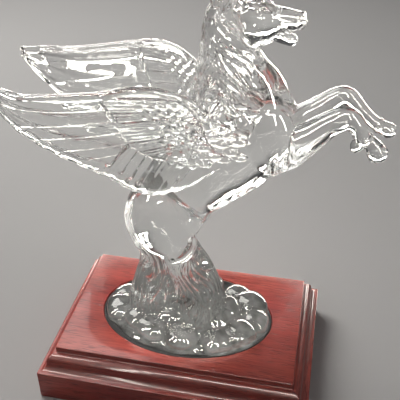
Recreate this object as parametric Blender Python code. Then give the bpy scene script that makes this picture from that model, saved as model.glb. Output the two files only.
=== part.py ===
"""Pegasus ornament: a rearing winged horse in clear crystal, cast in one piece with its cloud base.
It stands in the oval recess of a moulded mahogany plinth, on a black felt liner.

The row frame has its origin at the centre of the plinth's underside, +X towards the horse's head and +Z up.
Shapes are written in millimetres and scaled to metres as each object is made.
"""

import math

import bmesh
import bpy
from mathutils import Matrix, Vector

MM = 0.001

# Plinth, in millimetres
PLINTH_LENGTH = 152.4
PLINTH_WIDTH = 103.4
PLINTH_HEIGHT = 33.0
PANEL_INSET = 9.3
PANEL_STEP = 3.8
OGEE_DROP = 9.8
EDGE_BREAK = 0.5

# Oval recess and its felt liner, in millimetres
RECESS_HALF_LENGTH = 50.8
RECESS_HALF_WIDTH = 35.4
RECESS_DEPTH = 4.0
FELT_THICKNESS = 1.0
FELT_BELOW_TOP = 0.5
GAP = 0.3

# Crystal figure. Its heights are counted from the plinth's top face, in millimetres
FOOT_LEVEL = -RECESS_DEPTH + FELT_THICKNESS + 2 * GAP
FOOT_HALF_LENGTH = RECESS_HALF_LENGTH - FELT_THICKNESS - 3 * GAP
FOOT_HALF_WIDTH = RECESS_HALF_WIDTH - FELT_THICKNESS - 3 * GAP
BASE_HALF_LENGTH = 46.0
BASE_HALF_WIDTH = 31.0
BASE_SLAB_TOP = 5.0

# Rounded end of a limb: how far its pole stands off, and where its shoulder ring sits and how wide that is
CAP_REACH = 0.7
CAP_SHOULDER = 0.75
CAP_SHOULDER_WIDTH = 0.66

# How finely the casting is rounded off
CAST_VOXEL = 0.8
CAST_SMOOTHING = 2
CAST_TRIANGLES = 8900

# Sections of the body: x, z, half depth along the side view, half width across
TRUNK = [
    (-10, 50, 10, 11),
    (-9, 62, 15.5, 14.5),
    (-7.5, 76, 20, 17),
    (-2, 90, 21.5, 17),
    (9, 103, 24, 17.5),
    (22, 117, 26, 18),
    (32, 130, 22.5, 16.5),
    (36, 139, 16, 12),
]
NECK = [
    (30, 135, 24, 15),
    (27.5, 146, 21.5, 13),
    (24.5, 156, 17.4, 11),
    (23, 164, 13.6, 9.6),
    (22, 172, 11.3, 8.6),
    (21.5, 180, 10, 7.8),
    (22.4, 187, 7.6, 6.4),
]
SKULL = [
    (21, 184, 8, 6.2),
    (26, 181, 11, 7.4),
    (32, 179.8, 11.2, 7.5),
    (37, 180.6, 9, 6.8),
    (42, 181.8, 6.4, 5.4),
    (47, 182.4, 4.8, 4.5),
    (50.6, 182, 4.2, 4.3),
    (52.4, 181, 3, 3.6),
]
LOWER_JAW = [
    (36, 174.6, 4.2, 5),
    (41, 175.2, 2.9, 4),
    (45.5, 173.9, 2.5, 3.4),
    (48.6, 173.4, 2.4, 3.2),
    (49.8, 174.2, 1.7, 2.5),
]

# Sections of the legs: x, distance from the middle plane, z, half depth, half width
NEAR_FORELEG = [
    (42, 8, 120, 13, 7.5),
    (51, 8.5, 123.5, 10.5, 6.8),
    (60, 8.8, 130.5, 8, 5.8),
    (69, 8.8, 138.6, 6.2, 5),
    (76.2, 8.8, 142.4, 5.6, 4.9),
    (81, 8.8, 139.6, 4.6, 4.4),
    (83.6, 8.8, 134.6, 3.7, 3.7),
    (85.4, 8.8, 131.6, 3.8, 3.8),
]
NEAR_FOREHOOF = [
    (85.4, 8.8, 133, 3.2, 3.2),
    (88.6, 8.8, 130.8, 3.7, 3.6),
    (91, 8.8, 127.8, 4.5, 4.4),
    (92.6, 8.8, 125.4, 5, 4.9),
]
NEAR_FETLOCK_TUFT = [
    (85, 8.8, 132.5, 3.4, 3.2),
    (82.6, 8.8, 129.4, 3.2, 2.9),
    (81.6, 8.8, 126.8, 2, 2),
]
FAR_FORELEG = [
    (42, 7, 122, 12, 7),
    (52, 8, 127.5, 8.8, 6.2),
    (62, 8.5, 136, 6.4, 5.2),
    (71, 8.8, 143.4, 5.2, 4.6),
    (76.6, 8.8, 144.4, 4.7, 4.4),
    (83.6, 8.8, 138.2, 3.4, 3.4),
    (89, 8.8, 133.6, 3.1, 3.2),
    (92.4, 8.8, 131.2, 3.4, 3.5),
]
FAR_FOREHOOF = [
    (91.6, 8.8, 131.6, 3.1, 3.1),
    (94.6, 8.8, 130.4, 3.5, 3.4),
    (98, 8.8, 129, 4, 4),
]
NEAR_HIND_LEG = [
    (-10, 8, 88, 14, 9),
    (-9, 9.5, 76, 19, 10.5),
    (-7.5, 10.5, 66, 17, 10.5),
    (-4, 10.8, 58, 12.6, 8.8),
    (-3, 10.2, 50, 7.4, 6.2),
    (-1, 8, 42, 4.6, 4.4),
    (3, 6.5, 31, 4.2, 4),
    (7, 6.5, 20, 4.4, 4.4),
    (10, 7.5, 13, 5, 5),
]
NEAR_HIND_HOOF = [
    (10, 7.5, 14.5, 4.6, 4.6),
    (13, 7.8, 10, 5.6, 5.4),
    (16, 8, 6, 6.4, 6),
]
FAR_HIND_LEG_SHIFT = (-5.0, 0.0)

# Rounded masses laid over the sections: centre x, distance from the middle plane, z, three radii and pitch
CHEEK = (30, 0, 178.5, 9, 8.4, 9.6, 0)
SHOULDER = (38, 9, 127, 15, 8, 19, 35)
EYE = (36.5, 5.4, 186.6, 2.6, 1.9, 2, 0)
NOSTRIL = (52.6, 3, 183, 1.8, 1.6, 1.6, 0)
WING_ROOT = (21, 12.5, 130, 17, 6, 14, -30)
EAR = [
    (22.5, 3, 190, 2.6, 1.8),
    (22.6, 3.6, 194, 2.5, 1.7),
    (23.4, 4.2, 198, 1.6, 1.2),
    (24.4, 4.6, 200.5, 0.6, 0.5),
]

# Rounded puffs of the cloud base, in two rings: count, first angle in degrees, half length and half width of
# the ring, then each puff's radius along the ring, radius across it and height of its top
CLOUD_RINGS = [
    (13, 189, 41, 25, 9.8, 9, 8.8),
    (9, 250, 25, 13.5, 8.8, 7.2, 11.8),
]
PUFF_HEIGHT = 7.5
PUFF_BOXINESS = 2.5
PUFF_UNEVENNESS = 0.7
PUFF_VARIATION = 0.09
PUFF_SPACING_VARIATION = 4.0
PUFF_DIP = 4.4
PUFF_DIP_DIRECTION = 150.0
PUFF_TUCK = 0.2
PUFF_TUCK_DIRECTION = 234.0
CLOUD_SLAB = (BASE_HALF_LENGTH, BASE_HALF_WIDTH, PUFF_HEIGHT)
CLOUD_CROWN = (31, 19, PUFF_HEIGHT)
CLOUD_CROWN_LEVEL = 1.5
BACK_NARROWING = 0.94

# The leading edge of a wing from the shoulder to the tip: x, distance from the middle plane, z
LEADING_EDGE = [
    (20, 12.5, 133),
    (12.4, 15, 141.2),
    (7.5, 16.8, 146.8),
    (-1.4, 20.2, 152),
    (-10, 25, 155.4),
    (-20, 29, 156.2),
    (-30, 31.5, 154.6),
    (-45, 31, 152),
    (-60, 30, 149.8),
    (-72, 28.7, 148.4),
    (-80, 26.5, 149.2),
    (-86, 23.6, 149.9),
    (-91, 20.8, 150.3),
]
LOWER_SPREAD = [(-92, 20), (-10, 20), (0, 19.5), (10, 18.5), (20, 17), (30, 15), (45, 12)]
LOWER_LEVEL = 112.0

# Ridges between the long feathers: tip x, z, root x, z, sag of the middle
PRIMARY_RIDGES = [
    (-91, 150, -28, 153, 2.7),
    (-88.4, 142.6, -29.5, 147.3, 2.6),
    (-79, 130.4, -26.7, 140.7, 0.9),
    (-70.1, 123.6, -21.6, 135, 0.7),
    (-61.2, 116.8, -19.1, 128.3, 0.2),
    (-51, 111.4, -17.8, 124.2, 0),
    (-42.3, 108.3, -16.5, 122.5, 0),
    (-33.7, 105.6, -15.7, 121.3, 0),
]
SECONDARY_RIDGES = [
    (-34.1, 106.8, -20, 127, -0.8),
    (-28.7, 103.2, -16, 124.6, -0.8),
    (-23.8, 100.7, -12, 122.5, -0.8),
    (-19.3, 99.2, -8, 121, -0.8),
    (-13.8, 98.6, -3, 120.6, -1.2),
    (-8.6, 99, 3, 120, -1.5),
    (-2, 101.2, 9, 120, -1.5),
    (5.2, 104.2, 15, 119.6, -1.2),
    (12.9, 109.6, 21, 119.8, -0.8),
    (21.5, 116.2, 28, 121, 0),
]
COVERT_RIDGES = [
    (-28.6, 153, 5, 148.8, -1),
    (-28.6, 146.9, 6.2, 145.6, -0.6),
    (-26.4, 141, 8.4, 143.3, -0.4),
    (-23.6, 135.4, 10.2, 139.7, -0.2),
    (-21.2, 129.8, 11.6, 136.2, 0),
    (-17, 124.6, 13, 132.6, 0),
    (-12.3, 121.5, 14.4, 129.1, 0.2),
    (-6.2, 119.6, 16.4, 126.1, 0.4),
    (1.7, 118.2, 18.8, 123.6, 0.4),
    (11.1, 117.6, 21.7, 121.2, 0.2),
]
PLATE_THICKNESS = 2.8
COVERT_THICKNESS = 3.6
SHINGLE_STEP = 0.7
EDGE_ROLL = 2.2
FEATHER_OVERLAP = 0.06
FEATHER_END = 0.25
FEATHER_BULGE = 1.6
COVERT_BULGE = 1.2
SECONDARY_OFFSET = 0.8
COVERT_OFFSET = 1.6
KNOB_RADII = (3.0, 2.2, 3.4)
KNOB_COUNT = 4
KNOB_PITCH = -25.0

# Inner skin of a wing: where it starts and ends, and its broad lengthwise flutes
SKIN_ROOT = 20.0
SKIN_TIP = -88.0
SKIN_INSET = 1.2
SKIN_OFFSET = -1.0
SKIN_THICKNESS = 1.1
SKIN_FLUTES = 3
SKIN_FLUTE_DEPTH = 0.5

# Small round feathers over the shoulder: rows, feathers in the first row, first place, steps and first size
SCALE_ROWS = 7
SCALES_IN_ROW = 6
SCALE_START = (6.0, 121.5)
SCALE_STEP = (5.2, 4.2)
SCALE_SIZE = 2.9
SCALE_SHRINK = 0.22
SCALE_BELOW_EDGE = 4.0
SCALE_PROUD = 2.6
SCALE_ON_ROOT = 0.5
SCALE_SINK = 0.35
SCALE_STAGGER = (1.2, 1.5)
SCALE_THICKNESS = 1.5
SCALE_PITCH = -12.0

# Columns of hair: x, z, half depth along the side view, half width across
TAIL_COLUMN = [
    (-23, 88, 5, 6),
    (-26.6, 74, 5.5, 8),
    (-23.4, 60, 6, 9.5),
    (-17.6, 49, 7.2, 10),
    (-17.5, 38, 8.2, 10.5),
    (-18.5, 24, 10.6, 12),
    (-19, 7, 14.3, 13.5),
]
FETLOCK_COLUMN = [
    (-1, 52, 4.5, 10),
    (3, 43, 5, 10.5),
    (7.8, 33, 6.2, 10.5),
    (10.4, 22, 8.2, 11),
    (12, 7, 10.4, 12),
]
WEB_BETWEEN = [(-6, 50, 9, 7), (-4, 34, 9, 7), (-3, 20, 12, 9), (-2, 7, 16, 10)]
TAIL_STRANDS = 12
FETLOCK_STRANDS = 10
WEB_STRANDS = 7
STRAND_THICKNESS = 1.9
STRAND_FLATNESS = 0.9
STRAND_VARIATION = 0.2
STRAND_OUT = 1.04
STRAND_WAVE = 0.3
STRAND_LIFT = 0.04
STRAND_FLARE = 0.05

# Mane: locks on each side of the neck, by the height where they leave the crest, then the tip's place across
# the neck, from -1 at the crest to 1 at the throat, and its height
MANE_LOCKS = [
    (193, 0.5, 173.5),
    (191, 0.86, 166.5),
    (188, 0.5, 158),
    (182, 0.16, 149),
    (174, -0.25, 143),
    (168, 0.02, 137),
    (158, -0.4, 132),
]
MANE_THICKNESS = 3.6
MANE_FLATNESS = 0.75
MANE_SWAY = 0.05
LOCK_SLIMNESS = 0.45
MANE_LIFT = 0.7
MANE_HANG = 0.3
MANE_ROOT = -0.92
CREST_LOCKS = 7
CREST_TOP = 194.0
CREST_STEP = 6.2
CREST_FALL = 27.0
CREST_SINK = 2.6
CREST_SWAY = 2.2
CREST_THICKNESS = 2.9
FORELOCK = [(23, 192), (29, 192), (35, 190)]
FORELOCK_SPREAD = 2.2
FORELOCK_THICKNESS = 2.0


def smooth_step(value):
    """0 below 0, 1 above 1, and an S curve between."""
    value = min(1.0, max(0.0, value))
    return value * value * (3 - 2 * value)


def catmull_rom(before, start, end, after, t):
    """The value at t, from 0 to 1, on the smooth curve from start to end."""
    return 0.5 * (
        2 * start
        + (end - before) * t
        + (2 * before - 5 * start + 4 * end - after) * t * t
        + (3 * start - before - 3 * end + after) * t**3
    )


def smooth_stations(stations, steps):
    """Rows of numbers interpolated smoothly, with steps rows for each gap."""
    rows = []
    last = len(stations) - 1
    for i in range(last):
        before, after = stations[max(0, i - 1)], stations[min(last, i + 2)]
        for step in range(steps):
            t = step / steps
            rows.append(
                [catmull_rom(*four, t) for four in zip(before, stations[i], stations[i + 1], after)]
            )
    rows.append(list(stations[last]))
    return rows


def mesh_of(points, faces):
    """A bmesh from points in millimetres and faces of indices, facing outwards."""
    mesh = bmesh.new()
    vertices = [mesh.verts.new(point) for point in points]
    for face in faces:
        mesh.faces.new([vertices[i] for i in face])
    bmesh.ops.recalc_face_normals(mesh, faces=mesh.faces)
    return mesh


def closed_tube(rings, start_pole, end_pole):
    """A closed body through rings of equal count, ended by a pole at each side."""
    sides = len(rings[0])
    points = [point for ring in rings for point in ring] + [start_pole, end_pole]
    faces = []
    for row in range(len(rings) - 1):
        for side in range(sides):
            following = (side + 1) % sides
            low, high = row * sides, (row + 1) * sides
            faces.append((low + side, low + following, high + following, high + side))
    start, end = len(points) - 2, len(points) - 1
    top = (len(rings) - 1) * sides
    for side in range(sides):
        following = (side + 1) % sides
        faces.append((start, following, side))
        faces.append((end, top + side, top + following))
    return mesh_of(points, faces)


def loft(stations, sides=16, steps=4):
    """A rounded limb through elliptical sections of x, y, z, half depth and half width."""
    rows = smooth_stations(stations, steps)
    centres = [Vector(row[:3]) for row in rows]
    rings = []
    for i, row in enumerate(rows):
        along = (centres[min(i + 1, len(rows) - 1)] - centres[max(i - 1, 0)]).normalized()
        across = Vector((0, 1, 0)) - along * along.y
        across.normalize()
        deep = along.cross(across)
        rings.append((centres[i], along, deep * row[3], across * row[4]))
    shoulder = CAP_REACH * CAP_SHOULDER
    shaped = [section(*rings[0], -shoulder, CAP_SHOULDER_WIDTH, sides)]
    shaped += [section(*ring, 0, 1, sides) for ring in rings]
    shaped.append(section(*rings[-1], shoulder, CAP_SHOULDER_WIDTH, sides))
    start, end = rings[0], rings[-1]
    return closed_tube(
        shaped,
        start[0] - start[1] * CAP_REACH * start[2].length,
        end[0] + end[1] * CAP_REACH * end[2].length,
    )


def section(centre, along, deep, across, ahead, size, sides):
    """One ring of a limb, moved ahead along it by a share of its depth."""
    middle = centre + along * ahead * deep.length
    angles = [2 * math.pi * side / sides for side in range(sides)]
    return [middle + (deep * math.cos(a) + across * math.sin(a)) * size for a in angles]


def body_loft(stations, sides=20):
    """A limb that lies in the middle plane, from sections of x, z, half depth and half width."""
    return loft([(x, 0, z, deep, wide) for x, z, deep, wide in stations], sides)


def leg_loft(stations, side, shift=(0.0, 0.0)):
    """A limb on one side of the middle plane."""
    moved = [(x + shift[0], side * y, z + shift[1], deep, wide) for x, y, z, deep, wide in stations]
    return loft(moved, 14)


def ellipsoid(centre, radii, turn=0.0, pitch=0.0, boxy=2.0):
    """A rounded mass, turned about the vertical and then pitched about the crosswise axis, in degrees."""
    mesh = bmesh.new()
    ball = bmesh.ops.create_icosphere(mesh, subdivisions=3, radius=1)
    for vertex in ball["verts"]:
        vertex.co /= sum(abs(value) ** boxy for value in vertex.co) ** (1 / boxy)
    place = (
        Matrix.Translation(centre)
        @ Matrix.Rotation(math.radians(turn), 4, "Z")
        @ Matrix.Rotation(math.radians(pitch), 4, "Y")
        @ Matrix.Diagonal((*radii, 1))
    )
    bmesh.ops.transform(mesh, matrix=place, verts=mesh.verts)
    return mesh


def lock(points, thickness, flat=MANE_FLATNESS):
    """One tapering lock of hair along a curve, thickest near its middle."""
    last = len(points) - 1
    stations = []
    for i, (x, y, z) in enumerate(points):
        swell = LOCK_SLIMNESS + (1 - LOCK_SLIMNESS) * math.sin(math.pi * (0.15 + 0.8 * i / last))
        stations.append((x, y, z, thickness * swell, thickness * swell * flat))
    return loft(stations, 8, 4)


def mass(row, side=1):
    """A rounded mass from a row of its centre, radii and pitch."""
    x, away, z, deep, wide, tall, pitch = row
    return ellipsoid((x, side * away, z), (deep, wide, tall), pitch=pitch)


def horse_parts():
    """Trunk, neck, head and legs as overlapping masses."""
    far_shift = FAR_HIND_LEG_SHIFT
    parts = [body_loft(TRUNK), body_loft(NECK), body_loft(SKULL), body_loft(LOWER_JAW, 12)]
    parts += [leg_loft(NEAR_FORELEG, -1), leg_loft(NEAR_FOREHOOF, -1), leg_loft(NEAR_FETLOCK_TUFT, -1)]
    parts += [leg_loft(FAR_FORELEG, 1), leg_loft(FAR_FOREHOOF, 1)]
    parts += [leg_loft(NEAR_HIND_LEG, -1), leg_loft(NEAR_HIND_HOOF, -1)]
    parts += [leg_loft(NEAR_HIND_LEG, 1, far_shift), leg_loft(NEAR_HIND_HOOF, 1, far_shift)]
    parts.append(mass(CHEEK))
    for side in (-1, 1):
        parts += [mass(SHOULDER, side), mass(EYE, side), mass(NOSTRIL, side)]
        parts.append(leg_loft(EAR, side))
    return parts


def neck_at(z):
    """Centre x, half depth and half width of the neck at a height."""
    rows = smooth_stations(NECK, 6)
    best = min(rows, key=lambda row: abs(row[1] - z))
    return best[0], best[2], best[3]


def on_neck(share, z, side):
    """A point just proud of the neck's side, share running from -1 at the crest to 1 at the throat."""
    centre, deep, wide = neck_at(z)
    away = wide * math.sqrt(max(0.0, 1 - share * share)) + MANE_LIFT
    return (centre + share * deep, side * away, z)


def mane_lock(top, tip_share, tip_height, side):
    """A lock that runs down the crest and then sweeps forward over the side of the neck to a pointed tip."""
    points = []
    for i in range(7):
        t = i / 6
        share = MANE_ROOT + (tip_share - MANE_ROOT) * smooth_step((t - MANE_HANG) / (1 - MANE_HANG))
        sway = MANE_SWAY * math.sin(math.pi * 3 * t + top)
        points.append(on_neck(max(-1.0, share + sway), top + (tip_height - top) * t, side))
    return lock(points, MANE_THICKNESS)


def crest_lock(place):
    """A lock of the ridge that the mane forms behind the neck."""
    top = CREST_TOP - CREST_STEP * place
    sway = CREST_SWAY * math.sin(2.1 * place)
    points = []
    for i in range(4):
        t = i / 3
        height = top - CREST_FALL * t
        centre, deep, _ = neck_at(height)
        points.append((centre - deep + CREST_SINK, sway * math.sin(math.pi * (0.1 + 0.7 * t)), height))
    return lock(points, CREST_THICKNESS)


def mane_parts():
    """The mane on both sides of the neck, the ridge behind it and the forelock."""
    parts = [mane_lock(*row, side) for row in MANE_LOCKS for side in (-1, 1)]
    parts += [crest_lock(place) for place in range(CREST_LOCKS)]
    for i in (-1, 0, 1):
        parts.append(lock([(x, i * FORELOCK_SPREAD, z) for x, z in FORELOCK], FORELOCK_THICKNESS))
    return parts


def tail_parts():
    """The tail behind and the long hair of the hind legs in front, each a column clad in wavy strands."""
    parts = []
    columns = ((TAIL_COLUMN, TAIL_STRANDS), (FETLOCK_COLUMN, FETLOCK_STRANDS), (WEB_BETWEEN, WEB_STRANDS))
    for column, count in columns:
        parts.append(body_loft(column))
        parts += strands(column, count)
    return parts


def strands(column, count):
    """Wavy strands that run down all round a column and lift off a little at its foot."""
    parts = []
    rows = smooth_stations(column, 2)
    for i in range(count):
        start = 2 * math.pi * i / count
        points = []
        for j, (x, z, deep, wide) in enumerate(rows):
            t = j / (len(rows) - 1)
            angle = start + STRAND_WAVE * math.sin(3 * math.pi * t + 1.9 * i)
            out = STRAND_OUT + STRAND_FLARE * t * t + STRAND_LIFT * math.sin(9 * t + 2.3 * i)
            points.append((x + out * deep * math.cos(angle), out * wide * math.sin(angle), z))
        thickness = STRAND_THICKNESS * (1 + STRAND_VARIATION * math.sin(2.7 * i))
        parts.append(lock(points, thickness, STRAND_FLATNESS))
    return parts


def along_table(rows, x, column):
    """A value of the table at x, between rows that run towards smaller or larger x."""
    ordered = sorted(rows)
    for low, high in zip(ordered, ordered[1:]):
        if x <= high[0]:
            share = min(1.0, max(0.0, (x - low[0]) / (high[0] - low[0])))
            return low[column] + (high[column] - low[column]) * share
    return ordered[-1][column]


def wing_spread(x, z):
    """Distance of the wing's middle surface from the middle plane, at a point of the side view."""
    low = along_table(LOWER_SPREAD, x, 1)
    high = along_table(LEADING_EDGE, x, 1)
    top = along_table(LEADING_EDGE, x, 2)
    share = min(1.0, max(0.0, (z - LOWER_LEVEL) / max(8.0, top - LOWER_LEVEL)))
    return low + (high - low) * share


def feather(first, second, side, thick, outwards, tilt, bulge, rows=12, across=6):
    """A blade between two ridges of a wing, with a rounded end. Its second edge stands proud by the tilt."""
    rings = []
    for i in range(rows + 1):
        t = i / rows
        upper, lower = [], []
        for j in range(across + 1):
            v = (1 + 2 * FEATHER_OVERLAP) * j / across - FEATHER_OVERLAP
            near_end = smooth_step((t - 1 + FEATHER_END) / FEATHER_END)
            rounded = bulge * (1 - (2 * j / across - 1) ** 2) * near_end
            x, z = ridge_point(first, second, v, t, rounded)
            spread = wing_spread(x, z) + outwards + tilt * (v - 0.5)
            height = thick * (0.5 + 0.25 * (1 - t)) * (0.8 + 0.2 * math.sin(math.pi * j / across))
            upper.append(Vector((x, side * (spread + height), z)))
            lower.append(Vector((x, side * (spread - height), z)))
        rings.append(upper + lower[::-1])
    return closed_tube(rings, ring_middle(rings[0]), ring_middle(rings[-1]))


def ridge_point(first, second, v, t, ahead):
    """A point between two ridges: v runs across from the first, t from root to tip, ahead is past the end."""
    tip_x, tip_z, root_x, root_z, sag = (a + (b - a) * v for a, b in zip(first, second))
    length = math.hypot(tip_x - root_x, tip_z - root_z)
    reach = t + ahead / length
    drop = sag * math.sin(math.pi * min(1.0, t))
    return root_x + (tip_x - root_x) * reach, root_z + (tip_z - root_z) * reach - drop


def inner_skin(side, stations=24, across=18):
    """The smooth inner face of a wing, from the leading edge down to the feather tips, with broad flutes."""
    tips = [row[:2] for row in PRIMARY_RIDGES + SECONDARY_RIDGES]
    rings = []
    for i in range(stations + 1):
        x = SKIN_ROOT + (SKIN_TIP - SKIN_ROOT) * i / stations
        top = along_table(LEADING_EDGE, x, 2) - SKIN_INSET
        bottom = along_table(tips, x, 1) + SKIN_INSET
        outer, inner = [], []
        for j in range(across + 1):
            z = top + (bottom - top) * j / across
            spread = wing_spread(x, z) + SKIN_OFFSET
            flute = SKIN_FLUTE_DEPTH * math.cos(2 * math.pi * SKIN_FLUTES * j / across)
            outer.append(Vector((x, side * (spread + SKIN_THICKNESS), z)))
            inner.append(Vector((x, side * (spread - SKIN_THICKNESS - flute), z)))
        rings.append(outer + inner[::-1])
    return closed_tube(rings, ring_middle(rings[0]), ring_middle(rings[-1]))


def ring_middle(ring):
    """The middle of a feather's end."""
    return sum(ring, Vector()) / len(ring)


def wing_parts(side):
    """One wing: primaries, fanned secondaries, a layer of coverts and the rolled leading edge."""
    parts = []
    for first, second in zip(PRIMARY_RIDGES, PRIMARY_RIDGES[1:]):
        parts.append(feather(first, second, side, PLATE_THICKNESS, 0, SHINGLE_STEP, FEATHER_BULGE, 16))
    for first, second in zip(SECONDARY_RIDGES, SECONDARY_RIDGES[1:]):
        shape = (PLATE_THICKNESS, SECONDARY_OFFSET, -SHINGLE_STEP, FEATHER_BULGE)
        parts.append(feather(first, second, side, *shape))
    for first, second in zip(COVERT_RIDGES, COVERT_RIDGES[1:]):
        shape = (COVERT_THICKNESS, COVERT_OFFSET, SHINGLE_STEP, COVERT_BULGE)
        parts.append(feather(first, second, side, *shape))
    parts.append(inner_skin(side))
    for tip_x, tip_z, *_ in SECONDARY_RIDGES[:KNOB_COUNT]:
        knob = (tip_x + 1, side * (wing_spread(tip_x, tip_z) + 1), tip_z + KNOB_RADII[0])
        parts.append(ellipsoid(knob, KNOB_RADII, pitch=KNOB_PITCH))
    last = len(LEADING_EDGE) - 1
    edge = []
    for i, (x, y, z) in enumerate(LEADING_EDGE):
        thick = EDGE_ROLL * (1 - 0.5 * smooth_step((i - 4) / (last - 4)))
        edge.append((x, side * y, z - 0.4 * thick, thick, thick))
    parts.append(loft(edge, 10, 3))
    parts += shoulder_scales(side)
    parts.append(mass(WING_ROOT, side))
    return parts


def root_surface(x, z):
    """How far the mass at the wing's root reaches from the middle plane, at a point of the side view."""
    centre_x, away, centre_z, deep, wide, tall, pitch = WING_ROOT
    lean = math.radians(pitch)
    forward = (x - centre_x) * math.cos(lean) - (z - centre_z) * math.sin(lean)
    upward = (x - centre_x) * math.sin(lean) + (z - centre_z) * math.cos(lean)
    left = 1 - (forward / deep) ** 2 - (upward / tall) ** 2
    return away + wide * math.sqrt(left) if left > 0 else 0.0


def shoulder_scales(side):
    """Small overlapping feathers over the shoulder, in rows that shrink towards the chest."""
    parts = []
    for row in range(SCALE_ROWS):
        size = SCALE_SIZE - SCALE_SHRINK * row
        for i in range(SCALES_IN_ROW - row // 2):
            x = SCALE_START[0] + SCALE_STEP[0] * row + SCALE_STAGGER[0] * (i % 2)
            z = SCALE_START[1] + SCALE_STEP[1] * i + SCALE_STAGGER[1] * (row % 2)
            z = min(z, along_table(LEADING_EDGE, x, 2) - SCALE_BELOW_EDGE)
            on_wing = wing_spread(x, z) + SCALE_PROUD - SCALE_SINK * row
            away = max(on_wing, root_surface(x, z) + SCALE_ON_ROOT)
            radii = (size * 1.25, SCALE_THICKNESS, size * 0.75)
            parts.append(ellipsoid((x, side * away, z), radii, pitch=SCALE_PITCH))
    return parts


def cloud_parts():
    """The cloud base: a low slab under two rings of rounded puffs."""
    parts = [ellipsoid((0, 0, BASE_SLAB_TOP - PUFF_HEIGHT), CLOUD_SLAB)]
    parts.append(ellipsoid((0, 0, CLOUD_CROWN_LEVEL), CLOUD_CROWN))
    for count, first, long_side, short_side, along, across, top in CLOUD_RINGS:
        for i in range(count):
            angle = math.radians(first + 360 * i / count + PUFF_SPACING_VARIATION * math.sin(2.1 * i))
            turn = math.atan2(short_side * math.cos(angle), -long_side * math.sin(angle))
            size = 1 + PUFF_VARIATION * math.sin(3.7 * i + 1)
            dip = PUFF_DIP * max(0.0, math.cos(angle - math.radians(PUFF_DIP_DIRECTION))) ** 2
            level = top - PUFF_HEIGHT - dip + PUFF_UNEVENNESS * math.sin(2.9 * i)
            tuck = 1 - PUFF_TUCK * max(0.0, math.cos(angle - math.radians(PUFF_TUCK_DIRECTION))) ** 6
            place = (long_side * math.cos(angle) * tuck, short_side * math.sin(angle) * tuck, level)
            radii = (along * size, across * size, PUFF_HEIGHT)
            parts.append(ellipsoid(place, radii, math.degrees(turn), boxy=PUFF_BOXINESS))
    for part in parts:
        keep_inside_recess(part)
    return parts


def keep_inside_recess(shape):
    """Narrows the back a little and pulls in what would reach past the oval that the cloud base fills."""
    for vertex in shape.verts:
        if vertex.co.y > 0:
            vertex.co.y *= BACK_NARROWING
        reach = math.hypot(vertex.co.x / FOOT_HALF_LENGTH, vertex.co.y / FOOT_HALF_WIDTH)
        if reach > 1:
            vertex.co.x /= reach
            vertex.co.y /= reach


def material(name, colour, roughness, metallic=0.0, transmission=0.0):
    """A plain Principled material."""
    made = bpy.data.materials.new(name)
    made.use_nodes = True
    shader = made.node_tree.nodes["Principled BSDF"]
    shader.inputs["Base Color"].default_value = (*colour, 1)
    shader.inputs["Roughness"].default_value = roughness
    shader.inputs["Metallic"].default_value = metallic
    shader.inputs["Transmission Weight"].default_value = transmission
    return made


def add_object(name, mesh, finish):
    """Links a mesh to the scene as a named object with one material."""
    made = bpy.data.objects.new(name, mesh)
    bpy.context.scene.collection.objects.link(made)
    mesh.materials.append(finish)
    return made


def object_from_bmesh(name, shape, finish, lift=0.0):
    """An object from a bmesh in millimetres, lifted by a height and scaled to metres."""
    place = Matrix.Scale(MM, 4) @ Matrix.Translation((0, 0, lift))
    bmesh.ops.transform(shape, matrix=place, verts=shape.verts)
    mesh = bpy.data.meshes.new(name)
    shape.to_mesh(mesh)
    shape.free()
    return add_object(name, mesh, finish)


def joined(parts):
    """Several bmeshes as one mesh of overlapping bodies."""
    whole = bmesh.new()
    for part in parts:
        piece = bpy.data.meshes.new("piece")
        part.to_mesh(piece)
        part.free()
        whole.from_mesh(piece)
        bpy.data.meshes.remove(piece)
    return whole


def evaluated_bmesh(made):
    """The object's mesh with its modifiers, as a bmesh."""
    graph = bpy.context.evaluated_depsgraph_get()
    shape = bmesh.new()
    shape.from_object(made, graph)
    return shape


def modified(made, kind, **settings):
    """Adds a modifier with these settings."""
    modifier = made.modifiers.new(kind.title(), kind)
    for key, value in settings.items():
        setattr(modifier, key, value)
    return modifier


def cast_as_one(parts, finish):
    """Fuses overlapping masses into one rounded casting with few faces, and cuts its foot flat."""
    blank = object_from_bmesh("casting_blank", joined(parts), finish, PLINTH_HEIGHT)
    modified(blank, "REMESH", mode="VOXEL", voxel_size=CAST_VOXEL * MM)
    modified(blank, "SMOOTH", factor=0.5, iterations=CAST_SMOOTHING)
    fine = evaluated_bmesh(blank)
    share = CAST_TRIANGLES / (2 * len(fine.faces))
    fine.free()
    modified(blank, "DECIMATE", ratio=share, use_collapse_triangulate=True)
    cast = evaluated_bmesh(blank)
    bpy.data.objects.remove(blank)
    cut_flat(cast, (PLINTH_HEIGHT + FOOT_LEVEL) * MM)
    mesh = bpy.data.meshes.new("pegasus")
    cast.to_mesh(mesh)
    cast.free()
    mesh.shade_smooth()
    mesh.set_sharp_from_angle(angle=math.radians(50))
    return add_object("pegasus", mesh, finish)


def cut_flat(shape, level):
    """Removes what is below a level and closes the cut."""
    geometry = shape.verts[:] + shape.edges[:] + shape.faces[:]
    bmesh.ops.bisect_plane(
        shape, geom=geometry, dist=1e-7, plane_co=(0, 0, level), plane_no=(0, 0, 1), clear_inner=True
    )
    open_edges = [edge for edge in shape.edges if edge.is_boundary]
    bmesh.ops.holes_fill(shape, edges=open_edges, sides=0)
    bmesh.ops.triangulate(shape, faces=[face for face in shape.faces if len(face.verts) > 3])


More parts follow.
